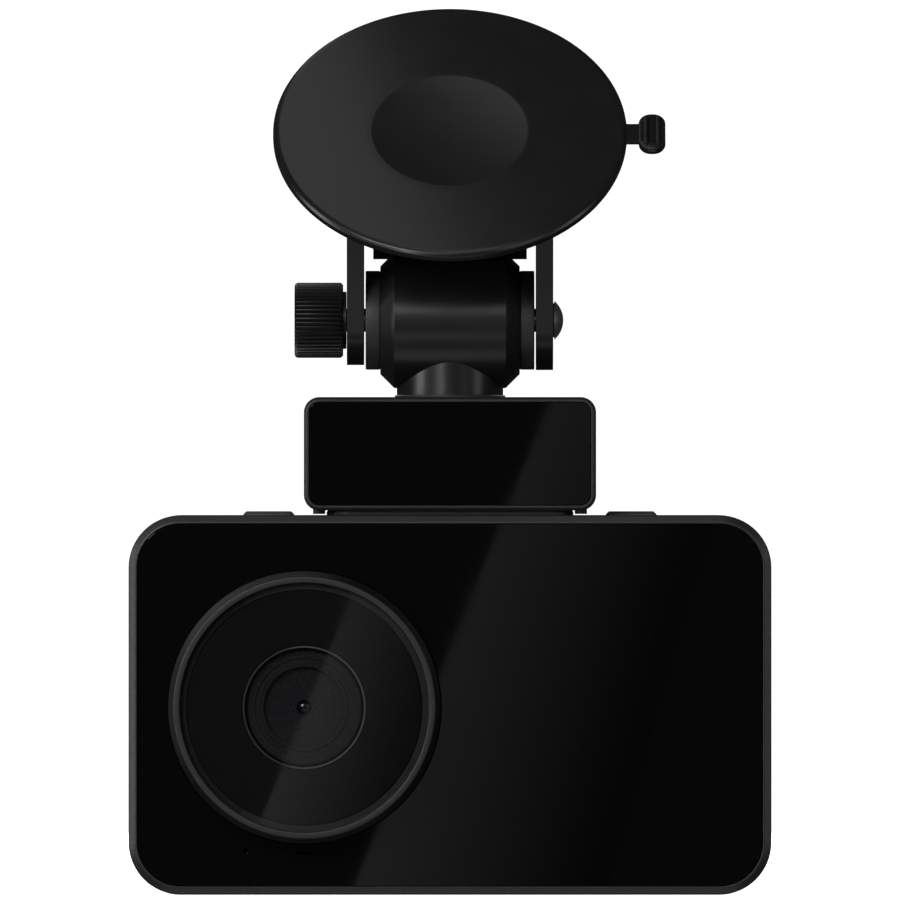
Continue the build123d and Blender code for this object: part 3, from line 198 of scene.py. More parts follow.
def lathe(name, profile, origin, axis, segments=160, closed=True, smooth_angle=32):
    """A turned piece: profile is (radius, height) points, turned about axis through origin."""
    axis = Vector(axis).normalized()
    side = axis.orthogonal().normalized()
    other = axis.cross(side)
    vertices, rings = [], []
    for radius, height in profile:
        base = Vector(origin) + axis * height
        if radius < 1e-7:
            rings.append([len(vertices)] * segments)
            vertices.append(base)
            continue
        rings.append(range(len(vertices), len(vertices) + segments))
        for k in range(segments):
            angle = 2 * pi * k / segments
            vertices.append(base + (side * cos(angle) + other * sin(angle)) * radius)
    faces = []
    pairs = list(zip(rings, rings[1:]))
    if closed:
        pairs.append((rings[-1], rings[0]))
    for first, second in pairs:
        for k in range(segments):
            n = (k + 1) % segments
            corners = [first[k], first[n], second[n], second[k]]
            face = [c for i, c in enumerate(corners) if c not in corners[:i]]
            if len(face) > 2:
                faces.append(face)
    return make(name, vertices, faces, smooth_angle)


def ring_stack(name, outline, levels, origin, right, up, smooth_angle=32):
    """A closed ring: outline(inset) is drawn at each (inset, height), and the last joins the first."""
    outward = right.cross(up)
    vertices, rings = [], []
    for inset, height in levels:
        points = outline(inset)
        rings.append(range(len(vertices), len(vertices) + len(points)))
        vertices += [origin + right * p[0] + up * p[1] + outward * height for p in points]
    faces = []
    for first, second in zip(rings, list(rings[1:]) + [rings[0]]):
        count = len(first)
        for k in range(count):
            n = (k + 1) % count
            faces.append([first[k], first[n], second[n], second[k]])
    return make(name, vertices, faces, smooth_angle)


def plate(name, outlines, levels, origin, right, up, smooth_angle=32):
    """A solid plate: the first outline is its edge and the others are holes through it.

    levels are (inset, height) from back to front.
    """
    outward = right.cross(up)
    vertices, faces, first_rings, last_rings = [], [], [], []
    for outline in outlines:
        rings = []
        for inset, height in levels:
            points = outline(inset)
            rings.append(range(len(vertices), len(vertices) + len(points)))
            vertices += [origin + right * p[0] + up * p[1] + outward * height for p in points]
        for lower, upper in zip(rings, rings[1:]):
            count = len(lower)
            for k in range(count):
                n = (k + 1) % count
                faces.append([lower[k], lower[n], upper[n], upper[k]])
        first_rings.append(rings[0])
        last_rings.append(rings[-1])
    for group in (first_rings, last_rings):
        order = [i for ring in group for i in ring]
        flat = [[Vector((*_flat(vertices[i], origin, right, up), 0)) for i in ring] for ring in group]
        faces += [[order[i] for i in tri] for tri in tessellate_polygon(flat)]
    return make(name, vertices, faces, smooth_angle)


def _flat(point, origin, right, up):
    """The point's place in the plate's own plane."""
    away = point - origin
    return away.dot(right), away.dot(up)


def softened(node, width, name=None, segments=3, angle=28):
    """A copy of a CAD node with its edges rounded by width, to stand for that node."""
    mesh = frame["nodes"][node].data.copy()
    mesh.materials.clear()
    obj = bpy.data.objects.new(name or node + "_moulded", mesh)
    bpy.context.collection.objects.link(obj)
    work = bmesh.new()
    work.from_mesh(mesh)
    bmesh.ops.remove_doubles(work, verts=work.verts, dist=2e-6)
    bmesh.ops.dissolve_limit(work, angle_limit=radians(0.5), verts=work.verts, edges=work.edges)
    sharp = [
        e for e in work.edges if len(e.link_faces) == 2 and e.calc_face_angle(0) > radians(angle)
    ]
    bmesh.ops.bevel(
        work,
        geom=sharp,
        offset=width,
        segments=segments,
        profile=0.5,
        affect="EDGES",
        clamp_overlap=True,
    )
    bmesh.ops.triangulate(work, faces=[f for f in work.faces if len(f.verts) > 4])
    work.to_mesh(mesh)
    work.free()
    settle(obj, angle)
    return obj


def raise_top(obj, top, rise):
    """Lifts a piece's top face, so that it seats close under what stands on it."""
    for vertex in obj.data.vertices:
        if vertex.co.z > top - 0.35 * MM:
            vertex.co.z += rise * max(0, 1 - (top - vertex.co.z) / (0.35 * MM))


def joined(name, pieces):
    """One object made of several."""
    bpy.ops.object.select_all(action="DESELECT")
    for piece in pieces:
        piece.select_set(True)
    bpy.context.view_layer.objects.active = pieces[0]
    bpy.ops.object.join()
    pieces[0].name = name
    pieces[0].data.name = name
    return pieces[0]


def declare(obj, body, slot, material, *nodes):
    """Gives a modelled piece its body, its material and the nodes that it stands for. The slot is not used."""
    obj.data.materials.clear()
    obj.data.materials.append(material)
    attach(obj, body)
    if nodes:
        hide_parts(*nodes)
    return obj


# ---------------------------------------------------------------- material helpers
class Finish:
    """A node material under construction, in the piece's own coordinates."""

    def __init__(self, name, colour, roughness, metallic=0.0, specular=0.5):
        self.material = bpy.data.materials.new(name)
        self.material.use_nodes = True
        self.nodes = self.material.node_tree.nodes
        self.links = self.material.node_tree.links
        self.shader = self.nodes["Principled BSDF"]
        self.set("Base Color", (*colour, 1))
        self.set("Roughness", roughness)
        self.set("Metallic", metallic)
        self.set("Specular IOR Level", specular)
        self.place = self.nodes.new("ShaderNodeTexCoord").outputs["Object"]
        self.height = None

    def set(self, socket, value):
        """Sets a constant on the shader."""
        self.shader.inputs[socket].default_value = value

    def noise(self, grain, detail=2.0, stretch=(1, 1, 1), kind="ShaderNodeTexNoise"):
        """Noise with features of about the given size, in metres, stretched along some axes."""
        mapping = self.nodes.new("ShaderNodeMapping")
        mapping.inputs["Scale"].default_value = stretch
        self.links.new(self.place, mapping.inputs["Vector"])
        texture = self.nodes.new(kind)
        texture.inputs["Scale"].default_value = 1 / grain
        if "Detail" in texture.inputs:
            texture.inputs["Detail"].default_value = detail
        self.links.new(mapping.outputs["Vector"], texture.inputs["Vector"])
        return texture.outputs[0]

    def spread(self, value, low, high, lowest=0.3, highest=0.7):
        """Maps a texture value to the range low to high."""
        node = self.nodes.new("ShaderNodeMapRange")
        node.inputs["From Min"].default_value = lowest
        node.inputs["From Max"].default_value = highest
        node.inputs["To Min"].default_value = low
        node.inputs["To Max"].default_value = high
        self.links.new(value, node.inputs["Value"])
        return node.outputs["Result"]

    def mixed_colour(self, factor, first, second):
        """Base colour that runs from first to second."""
        node = self.nodes.new("ShaderNodeMix")
        node.data_type = "RGBA"
        self.links.new(factor, node.inputs["Factor"])
        node.inputs["A"].default_value = (*first, 1)
        node.inputs["B"].default_value = (*second, 1)
        self.links.new(node.outputs["Result"], self.shader.inputs["Base Color"])
        return node.outputs["Result"]

    def rough(self, value):
        """Roughness from a texture."""
        self.links.new(value, self.shader.inputs["Roughness"])

    def bump(self, value, depth, strength=1.0):
        """Relief of the given depth in metres, on top of any relief given before."""
        node = self.nodes.new("ShaderNodeBump")
        node.inputs["Distance"].default_value = depth
        node.inputs["Strength"].default_value = strength
        self.links.new(value, node.inputs["Height"])
        if self.height:
            self.links.new(self.height, node.inputs["Normal"])
        self.height = node.outputs["Normal"]
        self.links.new(self.height, self.shader.inputs["Normal"])


def grained_plastic(name, tone, roughness, grain=0.16 * MM, depth=0.012 * MM, tint=(1, 1, 1.04)):
    """Spark-textured moulded plastic: fine grain, faint cloudiness and handling sheen."""
    colour = [tone * t for t in tint]
    finish = Finish(name, colour, roughness)
    fine = finish.noise(grain, 3.0)
    cloud = finish.noise(6 * MM, 2.0)
    finish.mixed_colour(
        finish.spread(cloud, 0, 1), [c * 0.93 for c in colour], [c * 1.08 for c in colour]
    )
    finish.rough(finish.spread(cloud, roughness * 0.96, roughness * 1.05))
    finish.bump(finish.noise(grain * 4, 2.0), depth * 1.5)
    finish.bump(fine, depth)
    return finish.material


def gloss_panel(name, tone, roughness=0.01):
    """Black lacquered glass with faint wipe marks."""
    finish = Finish(name, (tone, tone, tone * 1.08), roughness)
    finish.set("IOR", 1.5)
    wipe = finish.noise(7 * MM, 4.0, (1, 1, 0.35))
    dust = finish.noise(0.5 * MM, 1.0)
    finish.rough(finish.spread(wipe, roughness * 0.8, roughness * 1.6))
    finish.mixed_colour(
        finish.spread(dust, 0, 1, 0.62, 0.75), (tone,) * 3, (tone * 1.5, tone * 1.5, tone * 1.6)
    )
    finish.bump(wipe, 0.00004 * MM)
    return finish.material


def soft_rubber(name, tone, roughness, grain=0.25 * MM, sheen=0.08, depth=0.006 * MM):
    """Matte rubber or gel with fine mottling."""
    finish = Finish(name, (tone, tone, tone * 1.03), roughness, specular=0.5)
    finish.set("Sheen Weight", sheen)
    finish.set("Sheen Roughness", 0.4)
    blotch = finish.noise(3.5 * MM, 3.0)
    fine = finish.noise(grain, 2.0)
    finish.mixed_colour(
        finish.spread(blotch, 0, 1), (tone * 0.92,) * 3, (tone * 1.1, tone * 1.1, tone * 1.13)
    )
    finish.rough(finish.spread(blotch, roughness * 0.97, roughness * 1.04))
    finish.bump(fine, depth)
    return finish.material


def metal(name, colour, roughness, stretch=(1, 1, 1), grain=0.12 * MM):
    """Metal with fine machining marks."""
    finish = Finish(name, colour, roughness, metallic=1.0)
    marks = finish.noise(grain, 3.0, stretch)
    stain = finish.noise(2 * MM, 2.0)
    finish.rough(finish.spread(marks, roughness * 0.8, roughness * 1.3))
    finish.mixed_colour(finish.spread(stain, 0, 1), [c * 0.86 for c in colour], colour)
    finish.bump(marks, 0.003 * MM)
    return finish.material


def black_pit(name, tone=0.003, roughness=0.7):
    """Matte black light trap with a faint flocked grain."""
    finish = Finish(name, (tone,) * 3, roughness, specular=0.06)
    fine = finish.noise(0.15 * MM, 2.0)
    finish.mixed_colour(finish.spread(fine, 0, 1), (tone * 0.6,) * 3, (tone * 1.6,) * 3)
    finish.bump(fine, 0.01 * MM)
    return finish.material


def solder_mask(name):
    """Board lacquer over copper tracks, with bare pads."""
    finish = Finish(name, (0.01, 0.06, 0.03), 0.35)
    tracks = finish.noise(1.6 * MM, 0.0, kind="ShaderNodeTexVoronoi")
    finish.mixed_colour(finish.spread(tracks, 0, 1, 0.1, 0.35), (0.012, 0.09, 0.04), (0.006, 0.04, 0.02))
    finish.rough(finish.spread(finish.noise(1 * MM), 0.3, 0.45))
    finish.bump(tracks, 0.03 * MM)
    return finish.material


def coated_lens(name):
    """Deep lens element: black inside, with a violet and green anti-reflection coating."""
    finish = Finish(name, (0.0015, 0.001, 0.003), 0.02)
    finish.set("IOR", 2.2)
    finish.set("Specular Tint", (0.8, 0.78, 1.0, 1))
    ripple = finish.noise(1.2 * MM, 1.0)
    finish.mixed_colour(finish.spread(ripple, 0, 1), (0.002, 0.005, 0.0045), (0.004, 0.003, 0.007))
    finish.rough(finish.spread(ripple, 0.04, 0.07))
    return finish.material


def clear_glass(name, tint, ior, low_rough, high_rough):
    """Clear glass that mirrors more at grazing angles, with faint smears."""
    material = bpy.data.materials.new(name)
    material.use_nodes = True
    nodes, links = material.node_tree.nodes, material.node_tree.links
    nodes.clear()
    out = nodes.new("ShaderNodeOutputMaterial")
    mix = nodes.new("ShaderNodeMixShader")
    fresnel = nodes.new("ShaderNodeFresnel")
    fresnel.inputs["IOR"].default_value = ior
    clear = nodes.new("ShaderNodeBsdfTransparent")
    clear.inputs["Color"].default_value = (*tint, 1)
    gloss = nodes.new("ShaderNodeBsdfGlossy")
    place = nodes.new("ShaderNodeTexCoord")
    smear = nodes.new("ShaderNodeTexNoise")
    smear.inputs["Scale"].default_value = 1 / (5 * MM)
    smear.inputs["Detail"].default_value = 3
    spread = nodes.new("ShaderNodeMapRange")
    spread.inputs["From Min"].default_value = 0.3
    spread.inputs["From Max"].default_value = 0.7
    spread.inputs["To Min"].default_value = low_rough
    spread.inputs["To Max"].default_value = high_rough
    links.new(place.outputs["Object"], smear.inputs["Vector"])
    links.new(smear.outputs["Fac"], spread.inputs["Value"])
    links.new(spread.outputs["Result"], gloss.inputs["Roughness"])
    links.new(fresnel.outputs["Fac"], mix.inputs["Fac"])
    links.new(clear.outputs["BSDF"], mix.inputs[1])
    links.new(gloss.outputs["BSDF"], mix.inputs[2])
    links.new(mix.outputs["Shader"], out.inputs["Surface"])
    return material


def make_finishes():
    """One material for each slot of the record."""
    return {
        "body_plastic": grained_plastic("body_plastic", 0.019, 0.36),
        "module_plastic": grained_plastic("module_plastic", 0.019, 0.36),
        "turret_plastic": grained_plastic("turret_plastic", 0.009, 0.44),
        # Lighter copy of the body plastic for the contact plate: a painted highlight on its shaded front face.
        "plate_plastic_painted_highlight": grained_plastic("plate_plastic_painted_highlight", 0.15, 0.33),
        "panel_glass": gloss_panel("panel_glass", 0.0022),
        "cover_glass": clear_glass("cover_glass", (0.76, 0.76, 0.77), 1.5, 0.008, 0.02),
        "lens_glass": clear_glass("lens_glass", (0.94, 0.95, 0.97), 1.06, 0.02, 0.04),
        "deep_glass": coated_lens("deep_glass"),
        "inner_black": black_pit("inner_black", 0.023),
        "lens_inside": black_pit("lens_inside", 0.058),
        "accent": grained_plastic("accent", 0.13, 0.5),
        "steel": metal("steel", (0.5, 0.5, 0.5), 0.3),
        "dark_steel": metal("dark_steel", (0.66, 0.66, 0.67), 0.36),
        "circuit_board": solder_mask("circuit_board"),
        "component": grained_plastic("component", 0.02, 0.5),
        "aluminium": metal("aluminium", (0.6, 0.6, 0.61), 0.38, (1, 1, 8)),
        "capacitor_sleeve": grained_plastic("capacitor_sleeve", 0.02, 0.25, tint=(0.4, 0.5, 1.6)),
        "display": gloss_panel("display", 0.006, 0.12),
        "brass": metal("brass", (0.75, 0.52, 0.22), 0.25),
        "magnet": metal("magnet", (0.55, 0.54, 0.52), 0.2),
        "key_plastic": grained_plastic("key_plastic", 0.05, 0.38),
        "antenna_ceramic": grained_plastic("antenna_ceramic", 0.5, 0.6, tint=(1, 0.92, 0.75)),
        "mount_plastic": grained_plastic("mount_plastic", 0.0095, 0.31, depth=0.003 * MM),
        "rubber": soft_rubber("rubber", 0.028, 0.5),
        "pad_rubber": soft_rubber("pad_rubber", 0.0115, 0.24, sheen=0.0, depth=0.001 * MM),
        "knob_plastic": grained_plastic("knob_plastic", 0.012, 0.4),
    }


finishes = make_finishes()


def dress_cad_nodes():
    """Every carried-over node takes the material of its slot."""
    for obj in frame["nodes"].values():
        for slot in obj.material_slots:
            key = slot.material.name.split(".")[0]
            slot.material = finishes[key]


# ---------------------------------------------------------------- camera body
def make_front_frame():
    """The front frame: a rounded band with a softly bevelled rim round the glass."""
    width, height = size("front_frame").x, size("front_frame").z
    rim = (width - size("front_glass").x) / 2 - 0.08 * MM
    back = -low("rear_housing").y
    front = -low("front_frame").y
    floor = -high("front_glass").y
    profile = rounded(
        [
            (0, back),
            (0, front - 0.5 * MM),
            (rim - 0.2 * MM, front),
            (rim, front),
            (rim, floor),
            (rim + 0.9 * MM, floor),
            (rim + 0.9 * MM, back),
        ],
        [0, 0.35 * MM, 0.3 * MM, 0.07 * MM, 0, 0, 0],
    )
    outline = round_box(width, height, 6.75 * MM)
    origin = Vector((body_middle.x, 0, body_middle.z))
    obj = ring_stack("front_frame_moulded", outline, profile, origin, X, Z)
    return declare(obj, "camera", "body_plastic", finishes["body_plastic"], "front_frame")


GLASS_HOLE_RADIUS = 17.72 * MM


def make_front_glass():
    """The lacquered glass with its lens hole, pinhole and status slot."""
    width, height = size("front_glass").x, size("front_glass").z
    thickness = size("front_glass").y
    x, z = lens_middle.x, lens_middle.z - body_middle.z
    mic = middle("microphone")
    outlines = [
        round_box(width, height, 5.6 * MM),
        hole(GLASS_HOLE_RADIUS, (x, z), 160),
        hole(0.35 * MM, (mic.x, mic.z - body_middle.z), 40),
        slot_hole(2.1 * MM, 0.3 * MM, (x, 5.4 * MM - body_middle.z)),
    ]
    levels = [
        (0, 0),
        (0, thickness - 0.04 * MM),
        (0.012 * MM, thickness - 0.012 * MM),
        (0.04 * MM, thickness),
    ]
    origin = Vector((body_middle.x, high("front_glass").y, body_middle.z))
    obj = plate("front_glass_panel", outlines, levels, origin, X, Z, smooth_angle=8)
    return declare(obj, "camera", "panel_glass", finishes["panel_glass"], "front_glass")


# ---------------------------------------------------------------- lens
LENS_POINT = Vector((lens_middle.x, 0, lens_middle.z))
LENS_AXIS = -Y
COVER_TILT = radians(0.234)
COVER_CROWN = 3.75


def make_turret():
    """The turret: a slightly conical wall with a rounded rim and a seat for the cover glass."""
    glass_radius = size("lens_cover_glass").x / 2
    glass_back = -high("lens_cover_glass").y
    front = -low("lens_turret").y
    foot = 7.0 * MM
    base = 17.6 * MM
    top = base - 0.65 * MM
    bore = glass_radius + 0.05 * MM
    seat = glass_radius - 0.8 * MM
    profile = rounded(
        [
            (base, foot),
            (base, 10.5 * MM),
            (top, front),
            (bore, front),
            (bore, glass_back),
            (seat, glass_back),
            (seat, foot),
        ],
        [0, 0.3 * MM, 0.22 * MM, 0.12 * MM, 0, 0, 0],
    )
    turret = lathe("lens_turret_turned", profile, LENS_POINT, LENS_AXIS, 200)
    declare(turret, "camera", "body_plastic", finishes["turret_plastic"], "lens_turret")


def make_cover_glass():
    """The cover glass: a pane with a very slight crown, seated a hair out of square."""
    glass_radius = size("lens_cover_glass").x / 2
    glass_front = -low("lens_cover_glass").y
    glass_back = -high("lens_cover_glass").y
    rings = 12
    edge = 0.06 * MM
    profile = [(0, glass_back)]
    for k in range(1, rings + 1):
        r = glass_radius * k / rings
        profile.append((r, glass_back - r * r / (2 * COVER_CROWN)))
    sag = glass_radius**2 / (2 * COVER_CROWN)
    profile += [(glass_radius, glass_front - sag - edge)]
    for k in range(rings, 0, -1):
        r = (glass_radius - edge) * k / rings
        profile.append((r, glass_front - r * r / (2 * COVER_CROWN)))
    profile.append((0, glass_front))
    tilted = Vector((sin(COVER_TILT), -cos(COVER_TILT), 0))
    cover = lathe("lens_cover_glass_pane", profile, LENS_POINT, tilted, 200, closed=False, smooth_angle=8)
    cover.modifiers.clear()
    declare(cover, "camera", "cover_glass", finishes["cover_glass"], "lens_cover_glass")


def make_hood():
    """The flat black hood behind the cover glass, clear of the pane's tilted back."""
    front = -low("lens_hood").y - 0.16 * MM
    back = -high("lens_hood").y
    outer, inner = size("lens_hood").x / 2, size("lens_accent_ring").x / 2
    profile = rounded(
        [
            (outer, back),
            (outer, front),
            (inner + 0.25 * MM, front),
            (inner, front - 0.1 * MM),
            (inner, back),
        ],
        [0, 0.3 * MM, 0.1 * MM, 0.05 * MM, 0],
    )
    hood = lathe("lens_hood_turned", profile, LENS_POINT, LENS_AXIS, 160)
    declare(hood, "camera", "inner_black", finishes["inner_black"], "lens_hood")


def make_accent_ring():
    """The thin bright ring round the lens opening."""
    front, back = -low("lens_accent_ring").y, -high("lens_accent_ring").y
    outer = size("lens_accent_ring").x / 2
    inner = outer - 0.26 * MM
    profile = rounded(
        [(outer, back), (outer, front), (inner, front), (inner, back)], [0, 0.08 * MM, 0.08 * MM, 0]
    )
    accent = lathe("lens_accent_ring_turned", profile, LENS_POINT, LENS_AXIS, 160)
    declare(accent, "camera", "accent", finishes["accent"], "lens_accent_ring")


def make_lens_barrel():
    """The lens barrel with a shallow groove round its mouth."""
    front, back = -low("lens_barrel").y, -high("lens_barrel").y
    outer = size("lens_barrel").x / 2
    bore, mouth = 5.65 * MM, 5.25 * MM
    groove = 0.25 * MM
    profile = rounded(
        [
            (outer, back),
            (outer, front),
            (6.4 * MM, front),
            (6.25 * MM, front - groove),
            (5.75 * MM, front - groove),
            (5.6 * MM, front),
            (mouth, front),
            (mouth, front - 0.3 * MM),
            (bore, front - 0.35 * MM),
            (bore, back),
        ],
        [0, 0.12 * MM, 0.05 * MM, 0.05 * MM, 0.05 * MM, 0.05 * MM, 0.08 * MM, 0, 0, 0],
    )
    barrel = lathe("lens_barrel_turned", profile, LENS_POINT, LENS_AXIS, 160)
    declare(barrel, "camera", "inner_black", finishes["lens_inside"], "lens_barrel")


ELEMENT_RADIUS = 5.2 * MM
ELEMENT_CURVE = 24 * MM
STOP_RADIUS = 5.6 * MM
STOP_DEPTH = 1.6 * MM


def element_edge():
    """Height of the front element's edge along the lens axis."""
    sag = ELEMENT_CURVE - sqrt(ELEMENT_CURVE**2 - ELEMENT_RADIUS**2)
    return -low("lens_elements").y - sag


def make_front_element():
    """The thin domed front element."""
    front = -low("lens_elements").y
    edge = element_edge()
    profile = [(0, front)]
    for k in range(1, 25):
        r = ELEMENT_RADIUS * k / 24
        profile.append((r, front - (ELEMENT_CURVE - sqrt(ELEMENT_CURVE**2 - r**2))))
    profile += [(STOP_RADIUS, edge), (STOP_RADIUS, edge - 0.3 * MM)]
    element = lathe("lens_element_front", profile, LENS_POINT, LENS_AXIS, 128, closed=False)
    declare(element, "camera", "lens_glass", finishes["lens_glass"], "lens_elements")


def make_lens_stop():
    """The stepped dark funnel behind the front element, with a raised lip round its hole."""
    edge = element_edge()
    profile = [(STOP_RADIUS, edge - 0.3 * MM)]
    for k in range(5):
        r = (5.2 - 0.78 * k) * MM
        deep = edge - (0.36 + 0.12 * k) * MM
        profile += [(r, deep), (r - 0.6 * MM, deep - 0.06 * MM)]
    profile += [
        (1.35 * MM, edge - 0.95 * MM),
        (1.2 * MM, edge - 0.88 * MM),
        (1.02 * MM, edge - 0.92 * MM),
        (0.98 * MM, edge - STOP_DEPTH),
        (STOP_RADIUS, edge - STOP_DEPTH),
    ]
    stop = lathe("lens_stop", profile, LENS_POINT, LENS_AXIS, 128)
    declare(stop, "camera", "inner_black", finishes["lens_inside"])


def make_deep_element():
    """The small coated element in the funnel's hole."""
    radius, curve = 0.96 * MM, 1.5 * MM
    seat = element_edge() - 1.5 * MM
    base = sqrt(curve**2 - radius**2)
    profile = [(0, seat + curve - base)]
    for k in range(1, 17):
        r = radius * k / 16
        profile.append((r, seat + sqrt(curve**2 - r**2) - base))
    profile += [(radius, seat - 0.3 * MM), (0, seat - 0.3 * MM)]
    element = lathe("lens_element_deep", profile, LENS_POINT, LENS_AXIS, 96, closed=False)
    declare(element, "camera", "lens_glass", finishes["deep_glass"])


# ---------------------------------------------------------------- dock and receiver module
def make_module_front():
    """The module's front frame and its lacquered glass."""
    box = size("module_frame")
    at = middle("module_frame")
    front, back = -low("module_frame").y, -low("module_shell").y
    floor = -high("module_glass").y
    rim = (box.x - size("module_glass").x) / 2 - 0.08 * MM
    profile = rounded(
        [
            (0, back),
            (0, front - 0.32 * MM),
            (0.34 * MM, front),
            (rim, front),
            (rim, floor),
            (rim + 0.8 * MM, floor),
            (rim + 0.8 * MM, back),
        ],
        [0, 0.2 * MM, 0.16 * MM, 0.05 * MM, 0, 0, 0],
    )
    origin = Vector((at.x, 0, at.z))
    ring = ring_stack("module_frame_moulded", round_box(box.x, box.z, 2 * MM), profile, origin, X, Z)
    declare(ring, "module", "module_plastic", finishes["module_plastic"], "module_frame")

    glass = size("module_glass")
    levels = [(0, 0), (0, glass.y - 0.04 * MM), (0.012 * MM, glass.y - 0.012 * MM), (0.04 * MM, glass.y)]
    origin = Vector((at.x, high("module_glass").y, middle("module_glass").z))
    pane = plate(
        "module_glass_panel", [round_box(glass.x, glass.z, 1.3 * MM)], levels, origin, X, Z, smooth_angle=8
    )
    declare(pane, "module", "panel_glass", finishes["panel_glass"], "module_glass")


# ---------------------------------------------------------------- clamp, swivel and mount
def make_discs():
    """The two friction discs beside the barrel."""
    box = size("friction_discs")
    radius = box.z / 2
    outer = box.x / 2
    inner = size("swivel_barrel").x / 2
    discs = []
    for side in (-1, 1):
        profile = rounded(
            [(1.6 * MM, inner), (radius, inner), (radius, outer), (1.6 * MM, outer)],
            [0, 0.18 * MM, 0.18 * MM, 0],
        )
        discs.append(lathe(f"disc_{side}", profile, tilt_point, X * side, 128))
    obj = joined("friction_discs_turned", discs)
    return declare(obj, "swivel", "rubber", finishes["rubber"], "friction_discs")


def make_knob():
    """The clamp knob: ribbed grip with a bevelled face and a collar."""
    box = size("clamp_knob")
    radius = box.z / 2
    left, right = low("clamp_knob").x, high("clamp_knob").x
    ribs, depth = 50, 0.55 * MM
    collar = 0.42 * MM
    count = ribs * 12

    def outline(inset):
        points = []
        for k in range(count):
            a = 2 * pi * k / count
            wave = (0.5 + 0.5 * cos(ribs * a)) ** 2.4
            r = radius - depth * (1 - wave) - inset
            points.append((r * cos(a), r * sin(a)))
        return points

    length = right - collar - left
    levels = [
        (0.45 * MM, 0),
        (0.15 * MM, 0.12 * MM),
        (0, 0.4 * MM),
        (0, length - 0.3 * MM),
        (0.3 * MM, length),
    ]
    origin = Vector((left, tilt_point.y, tilt_point.z))
    grip = plate("knob_grip", [outline], levels, origin, Y, Z, 50)
    rim = rounded(
        [(1.6 * MM, 0), (3.7 * MM, 0), (3.7 * MM, collar + 0.2 * MM), (1.6 * MM, collar + 0.2 * MM)],
        [0, 0.08 * MM, 0, 0],
    )
    neck = lathe("knob_neck", rim, Vector((right, tilt_point.y, tilt_point.z)), -X, 96)
    obj = joined("clamp_knob_ribbed", [grip, neck])
    return declare(obj, "knob", "knob_plastic", finishes["knob_plastic"], "clamp_knob")


def make_screw():
    """The clamp screw with its domed head."""
    left, right = low("clamp_screw").x, high("clamp_screw").x
    radius, dome = 2.54 * MM, 1.17 * MM
    curve = (radius**2 + dome**2) / (2 * dome)
    seat = right - dome
    profile = [(0, left), (1.3 * MM, left), (1.5 * MM, left + 0.2 * MM), (1.5 * MM, seat - 0.15 * MM)]
    profile += [(radius - 0.35 * MM, seat - 0.15 * MM), (radius - 0.3 * MM, seat), (radius, seat)]
    for k in range(1, 17):
        r = radius * (1 - k / 16)
        profile.append((max(r, 0), seat + sqrt(curve**2 - r**2) - (curve - dome)))
    obj = lathe("clamp_screw_domed", profile, Vector((0, *tilt_point.yz)), X, 96, closed=False)
    return declare(obj, "mount", "steel", finishes["dark_steel"], "clamp_screw")


def pad_point(across, along, out):
    """A point on the suction pad, from its centre: along X, up the pad, and along its normal."""
    return pad_centre + X * across + pad_up * along + pad_out * out


